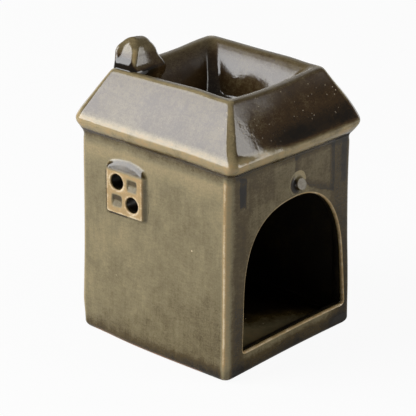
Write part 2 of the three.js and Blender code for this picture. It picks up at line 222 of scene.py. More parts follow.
class GlazeColours(bpy.types.PropertyGroup):
    """Colours of the clay and of the glaze over it, from thin to pooled."""

    clay: colour("Clay", "Bare clay by the foot", (214, 158, 112))
    cream: colour("Thinnest glaze", "Over the sharpest edges", (210, 191, 156))
    gold: colour("Thin glaze", "Where it breaks over an edge", (170, 140, 94))
    tan: colour("Tan glaze", "Beside the edges", (150, 134, 98))
    body: colour("Glaze", "On the walls", (124, 113, 83))
    deep: colour("Deep glaze", "Where it runs thicker", (74, 60, 30))
    umber: colour("Umber glaze", "The glaze of the roof", (112, 99, 70))
    brown: colour("Brown glaze", "Where that runs thicker", (66, 48, 26))
    pooled: colour("Pooled glaze", "In hollows", (24, 18, 10))


class StudioLight(bpy.types.PropertyGroup):
    """Studio settings."""

    left: FloatProperty(name="Left", description="Radiance of the panel on the left", default=7.6)
    right: FloatProperty(name="Right", description="Radiance of the panel on the right", default=5.0)
    backdrop: FloatProperty(name="Backdrop", description="Radiance of the panel behind", default=0.45)
    horizon: FloatProperty(name="Horizon", description="Radiance of the foot of the backdrop", default=1.5)
    room: FloatProperty(name="Room", description="Brightness of the room", default=0.12)


SETTINGS = {
    "burner_walls": WallSizes,
    "burner_doorway": DoorwaySizes,
    "burner_window": WindowSizes,
    "burner_boss": BossSizes,
    "burner_roof": RoofSizes,
    "burner_basin": BasinSizes,
    "burner_chimney": ChimneySizes,
    "burner_shaping": HandShaping,
    "burner_glaze": GlazeColours,
    "burner_studio": StudioLight,
}


# ---- shapes ----


def smoothstep(low, high, x):
    """0 below low, 1 above high and 3t^2 - 2t^3 between them."""
    t = np.clip((x - low) / (high - low), 0, 1)
    return t * t * (3 - 2 * t)


def falling(low, high, x):
    """1 below low and 0 above high, smoothly."""
    return 1 - smoothstep(low, high, x)


def plateau(low, start, end, high, x):
    """0 below low, 1 from start to end and 0 again above high: the product of two smooth steps."""
    return smoothstep(low, start, x) * falling(end, high, x)


def bump(middle, reach, x):
    """A bell that is 1 at the middle and 0 from reach on: the square of 1 - (x - middle)^2 / reach^2."""
    return np.clip(1 - ((x - middle) / reach) ** 2, 0, 1) ** 2


def turn_samples():
    """The places round the house where a column of vertices stands. Whole numbers from -1 to 7 are where a
    side or a corner starts, odd ones a corner, and -1 is the corner before the front wall."""
    parts = []
    for start in range(-1, 7):
        cells = CORNER_CELLS if start % 2 else SIDE_CELLS
        parts.append(start + np.arange(cells) / cells)
    return np.concatenate(parts)


TURNS = turn_samples()


def rounded_turn(turn, half_x, half_y, corner):
    """Places and outward directions on a rectangle with rounded corners. A side runs evenly along the
    rectangle, and a corner is the corner's centre plus its radius times (cos a, sin a), with a from 0 to a
    right angle."""
    segment = np.floor(turn).astype(int) % 8
    share = turn - np.floor(turn)
    quarter = segment // 2
    along = np.array([(1, 0), (0, 1), (-1, 0), (0, -1)], float)[quarter]
    out = np.array([(0, -1), (1, 0), (0, 1), (-1, 0)], float)[quarter]
    faces_y = quarter % 2 == 0
    run = np.where(faces_y, half_x, half_y) - corner
    reach = np.where(faces_y, half_y, half_x) - corner
    at_corner = segment % 2 == 1
    angle = (np.where(at_corner, share, 0) * math.pi / 2)[..., None]
    place = np.where(at_corner, 1, 2 * share - 1)
    direction = out * np.cos(angle) + along * np.sin(angle)
    centre = along * (run * place)[..., None] + out * reach[..., None]
    return centre + direction * np.asarray(corner)[..., None], direction


def turn_at(along, run, corner, side):
    """The turn at a distance along a side from its middle, as the reverse of rounded_turn: even along the
    side, and an arc sine round the corner past its end."""
    past = np.clip((np.abs(along) - run) / corner, 0, 1)
    bend = np.arcsin(past) / (math.pi / 2)
    on_side = (along / run + 1) / 2
    return side + np.where(along > run, 1 + bend, np.where(along < -run, -bend, on_side))


def counted(turn):
    """The turn counted from the near corner, which has the numbers from -1 to 0."""
    return (turn + 1) % 8 - 1


def facing_front(turn):
    """1 on the front of the roof, fading out round its two corners."""
    return plateau(-0.4, 0.1, 1.2, 1.8, counted(turn))


def corner_share(turn):
    """1 in the middle of a corner and 0 along the sides: the sine of the share of the corner turned."""
    segment = np.floor(turn).astype(int) % 8
    share = turn - np.floor(turn)
    return np.where(segment % 2 == 1, np.sin(math.pi * share), 0)


def on_hip(turn):
    """1 in the middle of a corner, 0.03 along the sides and a smooth step between them."""
    return smoothstep(-0.1, 1.0, corner_share(turn))


def trace_profile(stations, spacing, closed):
    """A profile through stations (offset, height, corner radius, fillet radius), with points at an even
    spacing. A fillet is the arc that touches both of the sides that meet at its station."""
    stations = [np.array(s, float) for s in stations]
    pieces = []
    count = len(stations)
    for k, here in enumerate(stations):
        is_end = not closed and k in (0, count - 1)
        if here[3] == 0 or is_end:
            pieces.append(here[None, :3])
            continue
        before, after = stations[k - 1], stations[(k + 1) % count]
        back, ahead = before[:2] - here[:2], after[:2] - here[:2]
        room = 0.49 * min(np.hypot(*back), np.hypot(*ahead))
        back, ahead = back / np.hypot(*back), ahead / np.hypot(*ahead)
        half = math.acos(np.clip(back @ ahead, -1, 1)) / 2
        reach = min(here[3] / math.tan(half), room)
        radius = reach * math.tan(half)
        middle = (back + ahead) / np.hypot(*(back + ahead))
        centre = here[:2] + middle * radius / math.sin(half)
        first, last = here[:2] + back * reach - centre, here[:2] + ahead * reach - centre
        start = math.atan2(first[1], first[0])
        swing = (math.atan2(last[1], last[0]) - start + math.pi) % (2 * math.pi) - math.pi
        steps = max(4, int(abs(swing) * radius / (0.5 * spacing)))
        angles = start + swing * np.linspace(0, 1, steps + 1)
        arc = centre + radius * np.stack([np.cos(angles), np.sin(angles)], 1)
        pieces.append(np.column_stack([arc, np.full(len(arc), here[2])]))
    line = np.concatenate(pieces)
    if closed:
        line = np.concatenate([line, line[:1]])
    steps = np.maximum(1, np.ceil(np.hypot(*np.diff(line[:, :2], axis=0).T) / spacing).astype(int))
    filled = [a + (b - a) * (np.arange(n) / n)[:, None] for a, b, n in zip(line[:-1], line[1:], steps)]
    if not closed:
        filled.append(line[-1:])
    return np.concatenate(filled)


class Surface:
    """Vertices and faces of one piece, gathered as arrays. Each vertex also has how thinly the glaze lies
    on it, how much has pooled there, and how bare the clay is, all from 0 to 1. In places the thin value
    also paints highlights and the pooled value paints shade."""

    def __init__(self):
        self.points = []
        self.finish = []
        self.faces = []
        self.count = 0

    def add(self, points, thin=0.0, pooled=0.0, bare=0.0):
        """Adds an array of points and returns an array of their numbers, of the same shape."""
        shape = points.shape[:-1]
        numbers = self.count + np.arange(int(np.prod(shape))).reshape(shape)
        self.points.append(points.reshape(-1, 3))
        values = [np.broadcast_to(v, shape).reshape(-1) for v in (thin, pooled, bare)]
        self.finish.append(np.stack(values, 1))
        self.count += numbers.size
        return numbers

    def sweep(self, house, profile, **finish):
        """Adds a profile (offset, height, corner radius) carried round the house, a row for each point."""
        return self.add(house.ring(TURNS[None], *np.hsplit(profile, 3))[0], **finish)

    def quads(self, a, b, c, d):
        """Faces between four arrays of vertex numbers, anticlockwise seen from outside."""
        self.faces.append(np.stack([a, b, c, d], -1).reshape(-1, 4))

    def weave(self, numbers, close_rows=False, close_columns=False, skip=None):
        """Faces over a grid of vertex numbers. Columns turn anticlockwise seen from above, and rows go up."""
        ahead = np.roll(numbers, -1, axis=1)
        above = np.roll(numbers, -1, axis=0)
        both = np.roll(ahead, -1, axis=0)
        keep = np.ones(numbers.shape, bool)
        if not close_rows:
            keep[-1] = False
        if not close_columns:
            keep[:, -1] = False
        if skip is not None:
            keep &= ~skip
        self.quads(numbers[keep], ahead[keep], both[keep], above[keep])

    def bridge(self, first, second, flip=False):
        """Faces between two closed loops of vertex numbers."""
        first_on, second_on = np.roll(first, -1), np.roll(second, -1)
        if flip:
            self.quads(first, second, second_on, first_on)
        else:
            self.quads(first, first_on, second_on, second)

    def stack(self, loops, flip=False):
        """Faces between each closed loop of vertex numbers and the next."""
        for first, second in zip(loops[:-1], loops[1:]):
            self.bridge(first, second, flip)

    def cap(self, loop, centre, flip=False, **finish):
        """Closes a loop with a fan of triangles to its centre."""
        middle = int(self.add(np.asarray(centre, float)[None], **finish)[0])
        onward = np.roll(loop, -1)
        middles = np.full(len(loop), middle)
        order = (onward, loop, middles) if flip else (loop, onward, middles)
        self.faces.append(np.stack([*order, middles], -1))

    def make(self, name, material, slot, *nodes):
        """Makes the object, drops points that no face uses, and puts it in the place of its CAD nodes."""
        points = settled(np.concatenate(self.points))
        finish = np.concatenate(self.finish)
        faces = np.concatenate(self.faces)
        used = np.unique(faces)
        renumber = np.full(len(points), -1)
        renumber[used] = np.arange(len(used))
        faces = renumber[faces]
        is_triangle = faces[:, 2] == faces[:, 3]
        mesh = bpy.data.meshes.new(name)
        loops = np.where(is_triangle, 3, 4)
        flat = faces.reshape(-1)[np.tile([True, True, True, False], len(faces)) | np.repeat(~is_triangle, 4)]
        mesh.vertices.add(len(used))
        mesh.vertices.foreach_set("co", points[used].astype(np.float32).ravel())
        mesh.loops.add(len(flat))
        mesh.loops.foreach_set("vertex_index", flat.astype(np.int32))
        mesh.polygons.add(len(faces))
        mesh.polygons.foreach_set("loop_start", np.concatenate([[0], np.cumsum(loops)[:-1]]).astype(np.int32))
        mesh.polygons.foreach_set("use_smooth", np.ones(len(faces), bool))
        for k, label in enumerate(("thin", "pooled", "bare")):
            attribute = mesh.attributes.new(label, "FLOAT", "POINT")
            attribute.data.foreach_set("value", finish[used, k].astype(np.float32))
        mesh.update(calc_edges=True)
        mesh.validate()
        mesh.set_sharp_from_angle(angle=SHARP_EDGE)
        mesh.materials.append(material)
        piece = bpy.data.objects.new(name, mesh)
        bpy.context.scene.collection.objects.link(piece)
        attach(piece, "root")
        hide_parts(*nodes)
        return piece


class Millimetres:
    """Reads a group of lengths in millimetres."""

    def __init__(self, group):
        self.group = group

    def __getattr__(self, name):
        return getattr(self.group, name) / MM


def settled(points):
    """The piece as it came out of the kiln: the movements of the walls and of the roof, and slow waves over
    both, all worked out in millimetres."""
    shaping = Millimetres(bpy.context.scene.burner_shaping)
    place = points.T / MM
    moves = wall_movement(shaping, *place) + roof_movement(shaping, *place)
    moves += slow_waves(shaping.wander, *place)
    return points + moves.T * MM


def wall_movement(shaping, x, y, z):
    """Bells by the foot of the left and front walls, a hollow half way up all four, and steps and bells that
    move the rear left and the front right corner in or out."""
    left, right = smoothstep(20, 44, -x), smoothstep(20, 44, x)
    front, rear = smoothstep(20, 44, -y), smoothstep(20, 44, y)
    low = bump(6, 60, z)
    waist = shaping.waist * bump(52, 45, z)
    move_x = waist * (left - right) - shaping.left_foot_bulge * low * bump(0, 50, y) * left
    move_y = waist * (front - rear) + shaping.front_foot_hollow * low * bump(4, 50, x) * front
    under_roof = smoothstep(35, 92, z) * (1 - 0.7 * bump(104, 8, z)) + 0.9 * smoothstep(112, 128, z)
    rear_left = shaping.rear_left * under_roof - shaping.rear_left_foot * bump(0, 16, z)
    front_right = shaping.front_right_foot * bump(20, 26, z) - shaping.front_right_waist * bump(70, 40, z)
    front_right = front_right + shaping.front_right_eave * (bump(116, 9, z) - bump(103, 8, z))
    outward = 0.7 * (front_right * smoothstep(30, 46, x) * smoothstep(10, 40, -y)
                     - rear_left * smoothstep(10, 40, -x) * smoothstep(10, 40, y))
    return np.stack([move_x + outward, move_y - outward, 0 * z])


def roof_movement(shaping, x, y, z):
    """The front slope falls back by the near hip, as the square of the distance past a line, and stands
    forward on the left. The eave sags over the doorway, and the rim does there and at the rear left."""
    past = np.clip((-x - 24.5 + 10 * falling(107, 111, z)) / 10, 0, 1.8)
    front = smoothstep(20, 44, -y)
    back = shaping.hip * past**2 * smoothstep(106, 112, z) * front
    sag = shaping.front_eave * (0.35 + 0.65 * smoothstep(-35, 25, x)) * plateau(88, 97, 105, 124, z) * front
    forward = sag * (0.15 + 0.44 * smoothstep(103, 109, z)) * smoothstep(99.5, 102, z)
    front = smoothstep(12, 27, -y)
    stands = shaping.front_slope * (1 - 0.85 * smoothstep(-15, 28, x))
    forward = forward + stands * smoothstep(99.5, 103, z) * front
    on_rim = plateau(110, 126, 131.5, 137, z)
    over_doorway = 0.6 + 0.4 * smoothstep(-32, -14, x) - 0.4 * smoothstep(8, 32, x)
    rear_left = smoothstep(-22, 15, y) * falling(0, 28, x)
    far = smoothstep(8, 30, x) * smoothstep(-5, 30, y)
    rim_sag = shaping.front_rim * over_doorway * front + shaping.rear_rim * rear_left - shaping.far_rim * far
    sag = sag + on_rim * rim_sag
    forward = forward + on_rim * shaping.rim_forward * front * bump(-2, 32, x)
    return np.stack([0 * x, back - forward, -sag])


def slow_waves(height, x, y, z):
    """Products of sines, which die out at the foot and towards the middle of the house."""
    rise = height * smoothstep(0, 12, z)
    return np.stack([
        rise * np.sin(0.071 * y + 1.3) * np.sin(0.083 * z + 0.4) * np.clip(x / 45, -1, 1),
        rise * np.sin(0.078 * x + 2.1) * np.sin(0.067 * z + 1.9) * np.clip(y / 45, -1, 1),
        0.4 * height * np.sin(0.058 * x + 0.7) * np.sin(0.064 * y + 2.6) * smoothstep(96, 112, z),
    ])


class House:
    """The faces of the walls and the lines of the roof, worked out from the settings."""

    def __init__(self, scene):
        self.walls = scene.burner_walls
        self.doorway = scene.burner_doorway
        self.window = scene.burner_window
        self.roof = scene.burner_roof
        self.half_x = self.walls.width / 2
        self.half_y = self.walls.depth / 2

    def lean(self, z):
        """How far a wall stands out of its upper edge: in proportion to the depth below it."""
        return self.walls.flare * (1 - z / self.walls.height)

    def corner(self, z):
        """Radius of the upright corners, which sharpen evenly towards the foot."""
        return self.walls.foot_corner + (self.walls.corner - self.walls.foot_corner) * z / self.walls.height

    def ring(self, turn, offset, z, corner):
        """Points and outward directions on a turn round the house at an offset from the wall planes. The near
        hip of the roof is sharper than the others by a third."""
        turn, offset, z, corner = np.broadcast_arrays(turn, offset, z, corner)
        side = counted(turn)
        near = np.where(side < 0, 1, np.maximum(falling(0, 0.4, side), smoothstep(6.6, 7, side)))
        corner = corner * (1 - 0.33 * near * smoothstep(100.5 * MM, 104 * MM, z))
        places, out = rounded_turn(turn, self.half_x + offset, self.half_y + offset, corner)
        return np.concatenate([places, z[..., None]], -1), np.concatenate([out, 0 * z[..., None]], -1)

    def outer(self, turn, z):
        """The outer face of the walls."""
        return self.ring(turn, self.lean(z), z, self.corner(z))

    def inner(self, turn, z):
        """The inner face of the walls."""
        return self.ring(turn, self.lean(z) - self.walls.thickness, z, self.walls.inner_corner)

    def run(self, side, z, inner=False):
        """Half the straight length of a side."""
        half = self.half_x if side in (FRONT, REAR) else self.half_y
        if inner:
            return half + self.lean(z) - self.walls.thickness - self.walls.inner_corner
        return half + self.lean(z) - self.corner(z)

    def inner_limit(self, z):
        """How far from its middle the front wall's inner face can be cut: nearly to its corners' ends."""
        return self.run(FRONT, z, True) + 0.93 * self.walls.inner_corner

    def turn_of(self, side, along, z, inner=False):
        """The turn at a distance along a side, on the outer or the inner face."""
        corner = self.walls.inner_corner if inner else self.corner(z)
        return turn_at(along, self.run(side, z, inner), corner, side)

    def raised(self, side, along, z, rise):
        """Points at a rise over the outer face of a side."""
        points, out = self.outer(self.turn_of(side, along, z), z)
        return points + out * np.asarray(rise)[..., None]

    def up_slope(self, z):
        """Share of the way from the eaves up to the rim."""
        return (z - self.roof.eave_height) / (self.roof.rim_height - self.roof.eave_height)

    def slope_offset(self, z):
        """Offset of the roof's outer face: a straight line from the eaves to the rim."""
        return self.roof.overhang - self.up_slope(z) * (self.roof.overhang + self.roof.rim_inset)

    def slope_corner(self, z):
        """Radius of the hips, which sharpen evenly from the eaves up to the rim."""
        return self.roof.eave_corner + self.up_slope(z) * (self.roof.rim_corner - self.roof.eave_corner)

    def slope_run(self):
        """Thickness of the slopes, measured level."""
        roof = self.roof
        drop = (roof.overhang + roof.rim_inset) / (roof.rim_height - roof.eave_height)
        return roof.thickness * math.hypot(1, drop)

    def crease_stations(self):
        """The soft crease under the eaves: its lower end, its sharp middle and its upper end."""
        walls, roof = self.walls, self.roof
        under = np.array([roof.overhang, roof.eave_height - walls.height])
        under *= walls.crease / np.hypot(*under)
        corner = walls.corner + (roof.eave_corner - walls.corner) * under[0] / roof.overhang
        upper_end = (under[0], walls.height + under[1], corner)
        return (0, walls.height - walls.crease), (0, walls.height), upper_end


def bezier(points, steps):
    """Points on a Bezier curve: the sum of its control points weighed by Bernstein's polynomials."""
    points = np.array(points, float)
    order = len(points) - 1
    t = np.linspace(0, 1, steps)[:, None]
    return sum(math.comb(order, k) * t**k * (1 - t) ** (order - k) * p for k, p in enumerate(points))


def resample(line, count):
    """Points at even lengths along a line, its first end included and its last one not."""
    lengths = np.concatenate([[0], np.cumsum(np.hypot(*np.diff(line, axis=0).T))])
    wanted = np.arange(count) / count * lengths[-1]
    return np.stack([np.interp(wanted, lengths, line[:, k]) for k in range(2)], 1)


def doorway_sides(house):
    """The doorway's outline as four lines, anticlockwise seen from the front: sill, right jamb, arch and left
    jamb. The jambs are straight and the arch is two cubic Bezier curves."""
    doorway = house.doorway
    reach = house.half_x + house.lean(doorway.sill)
    left, right = doorway.left_jamb - reach, reach - doorway.right_jamb
    spring_z = doorway.sill + doorway.spring
    rise = doorway.crown - spring_z

    def half_arch(foot, lean, shoulder):
        return bezier([
            (foot, spring_z),
            (foot + lean * shoulder, spring_z + rise * shoulder),
            (doorway.crown_x + (foot - doorway.crown_x) * shoulder, doorway.crown),
            (doorway.crown_x, doorway.crown),
        ], 160)

    right_half = half_arch(right - doorway.right_lean, -doorway.right_lean, doorway.right_shoulder)
    left_half = half_arch(left + doorway.left_lean, doorway.left_lean, doorway.left_shoulder)[::-1]
    arch = np.concatenate([[(right, doorway.sill)], right_half, left_half[1:], [(left, doorway.sill)]])
    bend = doorway.sill_corner
    low = doorway.sill + bend
    lift = np.linspace(0, 1, 9)[:, None] * math.pi / 2
    right_bend = np.hstack([right - bend + bend * np.sin(lift), low - bend * np.cos(lift)])
    left_bend = np.hstack([left + bend - bend * np.cos(lift), low - bend * np.sin(lift)])
    arch = arch[arch[:, 1] > low]
    heights = arch[:, 1]
    top = int(np.argmax(heights))
    head_share = 0.27
    split_z = doorway.crown - head_share * (doorway.crown - doorway.sill)
    right_split = int(np.argmax(heights > split_z))
    left_split = top + int(np.argmax(heights[top:] < split_z))
    half_bend = len(lift) // 2
    sill = np.concatenate([left_bend[half_bend:], right_bend[: half_bend + 1]])
    right_side = np.concatenate([right_bend[half_bend:], arch[: right_split + 1]])
    head = arch[right_split: left_split + 1]
    left_side = np.concatenate([arch[left_split:], left_bend[: half_bend + 1]])
    return sill, right_side, head, left_side


def outline_normals(outline):
    """Directions out of a closed anticlockwise outline: its tangent turned back by a right angle."""
    tangent = np.roll(outline, -1, axis=0) - np.roll(outline, 1, axis=0)
    tangent /= np.hypot(*tangent.T)[:, None]
    return np.stack([tangent[:, 1], -tangent[:, 0]], 1)


def block_loop(numbers, rows, columns):
    """The vertex numbers round a block of a grid, anticlockwise seen from outside."""
    low, high = rows
    first, last = columns
    return np.concatenate([
        numbers[low, first:last],
        numbers[low:high, last],
        numbers[high, last:first:-1],
        numbers[high:low:-1, first],
    ])


def block_places(turns, heights, rows, columns):
    """Turn and height of the vertices of block_loop."""
    grid = np.stack(np.meshgrid(turns, heights), -1)
    return np.stack([block_loop(grid[..., k], rows, columns) for k in range(2)], 1)


def ring_patch(surface, face, numbers, places, rows, columns, hole, steps, inward, finish):
    """Fills a block of a grid round a hole. A point at share s between the hole and the edge of the block is
    (1 - s) times its place on the hole plus s times its place on the edge, as turn and height. Returns the
    hole's vertex numbers."""
    edge = block_loop(numbers, rows, columns)
    crowding = 1.15
    shares = (np.arange(steps) / steps) ** crowding
    inside = hole[None] * (1 - shares[:, None, None]) + places[None] * shares[:, None, None]
    points, _ = face(inside[..., 0], inside[..., 1])
    added = surface.add(points, **finish(inside[..., 0], inside[..., 1]))
    surface.stack([*added, edge], flip=not inward)
    return added[0]


def nearest(values, wanted):
    """Number of the value nearest to the wanted one."""
    return int(np.argmin(np.abs(np.asarray(values) - wanted)))


def vent_places(window):
    """Places of the two vents and the two blind panes, as distance from the window's middle towards the rear,
    and height."""
    half = window.pitch / 2
    vents = [(half, window.grid_height + half), (-half, window.grid_height - half)]
    panes = [(-half, window.grid_height + half), (half, window.grid_height - half)]
    return vents, panes


def side_along(side, y):
    """Distance along a side wall for a place y. The right wall runs to the rear, the left to the front."""
    return y if side == RIGHT else -y


# ---- glaze ----


class Field:
    """A shader socket that takes part in sums: operators add Math nodes."""

    def __init__(self, tree, socket):
        self.tree = tree
        self.socket = socket

    def _math(self, operation, *values):
        return self.tree.node("ShaderNodeMath", {"operation": operation}, *values)

    def __add__(self, other):
        return self._math("ADD", self, other)

    def __radd__(self, other):
        return self._math("ADD", other, self)

    def __sub__(self, other):
        return self._math("SUBTRACT", self, other)

    def __rsub__(self, other):
        return self._math("SUBTRACT", other, self)

    def __mul__(self, other):
        return self._math("MULTIPLY", self, other)

    def __rmul__(self, other):
        return self._math("MULTIPLY", other, self)

    def clamped(self):
        return self.tree.node("ShaderNodeClamp", {}, self, 0.0, 1.0)

    def ramp(self, low, high):
        """0 below low and 1 above high, smoothly."""
        settings = {"interpolation_type": "SMOOTHSTEP"}
        return self.tree.node("ShaderNodeMapRange", settings, self, low, high, 0.0, 1.0)


class Tree:
    """The node tree of a material or of the world."""

    def __init__(self, owner):
        owner.use_nodes = True
        self.owner = owner
        self.nodes = owner.node_tree.nodes
        self.links = owner.node_tree.links
        self.nodes.clear()

    def node(self, kind, settings, *values, output=0, **named):
        """Adds a node: its settings first, then its sockets in order or by name, each a number or a link."""
        made = self.nodes.new(kind)
        for key, value in settings.items():
            if key == "stops":
                self._set_stops(made.color_ramp, value)
            else:
                setattr(made, key, value)
        sockets = [s for s in made.inputs if s.enabled]
        pairs = [*zip(sockets, values), *((self._find(made, k), v) for k, v in named.items())]
        for socket, value in pairs:
            if isinstance(value, Field):
                self.links.new(value.socket, socket)
            elif value is not None:
                socket.default_value = value
        outputs = [s for s in made.outputs if s.enabled]
        return Field(self, outputs[output]) if outputs else made

    @staticmethod
    def _find(made, name):
        label = name.replace("_", " ").lower()
        return next(s for s in made.inputs if s.enabled and s.name.lower() == label)

    @staticmethod
    def _set_stops(ramp, stops):
        while len(ramp.elements) < len(stops):
            ramp.elements.new(0.5)
        for element, (place, value) in zip(ramp.elements, stops):
            element.position = place
            element.color = (*value, 1)

    def place(self):
        """Object coordinates."""
        return self.node("ShaderNodeTexCoord", {}, output=3)

    def axes(self, vector):
        """Its x, y and z."""
        return [self.node("ShaderNodeSeparateXYZ", {}, vector, output=k) for k in range(3)]

    def value(self, name):
        """A vertex value."""
        return self.node("ShaderNodeAttribute", {"attribute_name": name}, output=2)

    def noise(self, vector, scale, detail=3.0, roughness=0.55):
        return self.node("ShaderNodeTexNoise", {}, Vector=vector, Scale=scale, Detail=detail,
                         Roughness=roughness)

    def stretch(self, vector, x, y, z):
        return self.node("ShaderNodeMapping", {}, Vector=vector, Scale=(x, y, z))

    def cells(self, vector, scale):
        """Distance to the middle of the nearest cell."""
        return self.node("ShaderNodeTexVoronoi", {"feature": "F1"}, Vector=vector, Scale=scale)

    def mix(self, factor, first, second):
        return self.node("ShaderNodeMix", {"data_type": "RGBA"}, Factor=factor, A=first, B=second)


def rgb(value):
    return (*value, 1.0)


def make_glaze(scene, name, depth, haze, roof=False, marks_and_painted_light=None, haze_lip=0.0, ripple=0.9, relief=0.16):
    """The reactive glaze over the clay. Its depth starts from a piece's own level, thins over edges, pools in
    hollows and wanders, and the colour follows the depth from cream over gold to near black. Where the thin
    and pooled values or the patches passed in paint highlights, reflections and shade, the colour carries that
    painted light."""
    colours = scene.burner_glaze
    tree = Tree(bpy.data.materials.new(name))
    place = tree.place()
    thin, pooled, bare = (tree.value(v) for v in ("thin", "pooled", "bare"))
    cloud = tree.noise(place, 38.0)
    mottle = tree.noise(place, 150.0, 4.0, 0.6)
    streak = tree.noise(tree.stretch(place, 1.0, 1.0, 0.12), 700.0, 3.0, 0.65)
    weave = tree.noise(tree.stretch(place, 0.35, 0.35, 1.0), 900.0, 2.0, 0.6)
    grain = tree.noise(place, 1500.0, 2.0, 0.6)
    level = depth
    for pattern, share in ((cloud, 0.32), (mottle, 0.14), (streak, 0.16), (weave, 0.18), (grain, 0.26)):
        level = level + (pattern - 0.5) * share
    wear = 0.06 + mottle * 0.75 + (cloud - 0.5) * 0.5 + (streak - 0.5) * 0.3
    level = level + pooled * 0.5 - thin * wear
    if marks_and_painted_light:
        level = level + marks_and_painted_light(tree, place, mottle)
    on_walls = [(0.5, colours.body), (0.74, colours.deep)]
    on_roof = [(0.5, colours.umber), (0.70, colours.brown)]
    stops = [(0.0, colours.cream), (0.17, colours.gold), (0.33, colours.tan),
             *(on_roof if roof else on_walls), (1.0, colours.pooled)]
    glaze = tree.node("ShaderNodeValToRGB", {"stops": stops}, level)
    glaze = tree.mix((bare + (mottle - 0.5) * bare).clamped(), glaze, rgb(colours.clay))
    specks = (1 - tree.cells(place, 62.0).ramp(0.018, 0.03)) * (1 - pooled * 1.5).clamped()
    colour_out = tree.mix(specks, glaze, rgb(colours.cream))
    rough = 0.06 + haze * (0.5 + streak) * (1 - pooled).clamped() + bare * 0.5 + (pooled - 0.9).clamped() * 4
    height = streak * 0.30 + weave * 0.25 + mottle * 0.7 + grain * 0.2
    if roof:
        _, y, z = tree.axes(place)
        on_front = (1 - y.ramp(-38 * MM, -30 * MM)) * z.ramp(107 * MM, 116 * MM)
        patches = tree.noise(place, 90.0).ramp(0.42, 0.6)
        # Bubbles on the front of the roof: real relief, and painted cream as glints, a painted highlight.
        bubbles_and_glints = (1 - tree.cells(place, 430.0).ramp(0.07, 0.14)) * on_front * patches
        colour_out = tree.mix(bubbles_and_glints * 0.8, colour_out, rgb(colours.cream))
        rough = rough + z.ramp(118 * MM, 128 * MM) * haze_lip
        height = height + tree.noise(place, 260.0, 2.0) * ripple + bubbles_and_glints
    strength = relief if roof else 0.10
    bumped = tree.node("ShaderNodeBump", {}, Strength=strength, Distance=0.4 * MM, Height=height)
    shader = tree.node("ShaderNodeBsdfPrincipled", {}, Base_Color=colour_out, Roughness=rough, IOR=1.52,
                       Normal=bumped)
    tree.node("ShaderNodeOutputMaterial", {}, Surface=shader)
    return tree.owner


def runs_and_painted_reflections(tree, place, mottle):
    """Darker patches on the front wall, each the product of bands across and up the wall, whose edges are
    given in millimetres. The strip by the near corner is a glaze run; the sheet at the upper right with its
    lighter core and the far band are painted reflections, and the near band darkens the upper left."""

    def step(value, place, edge):
        return value.ramp((place - edge) * MM, (place + edge) * MM)

    def band(value, low, high, edge):
        return step(value, low, edge) * (1 - step(value, high, edge))

    x, y, z = tree.axes(place)
    shake = (mottle - 0.5) * 3 * MM
    x, z = x + shake, z + shake
    front = 1 - step(y, -42, 1)
    strip = band(x, -36.8, -32.4, 0.7) * band(z + x * 0.28, 72.3, 86.5, 0.5)
    base = z + x * 0.42
    # The sheet, its core and the far band are painted reflections.
    sheet = band(x, 1, 31, 0.6) * step(base, 85, 0.6)
    core = band(x, 3.5, 28.5, 2) * step(base, 87.5, 2)
    near = band(x, -30.5, -13, 1.5) * band(z, 80, 96, 2)
    far = band(x, 36, 40, 0.6) * band(z, 75, 99, 1)
    return front * (strip * (mottle * 1.1 - 0.25) + (sheet - core * 0.75) * 0.2 + near * 0.1 + far * 0.15)


def floor_painted_light_and_shade(tree, place, mottle):
    """Darker glaze on the floor away from its front left corner, a ramp across x and y: painted shade, which
    leaves a painted pool of light by the doorway.
    """
    x, y, _ = tree.axes(place)
    return (y + x * 0.55 + mottle * 8 * MM).ramp(-30 * MM, 8 * MM) * 0.75


# ---- pieces ----


class BurnerOperator:
    """What the operators share."""

    bl_options = {"REGISTER", "UNDO"}


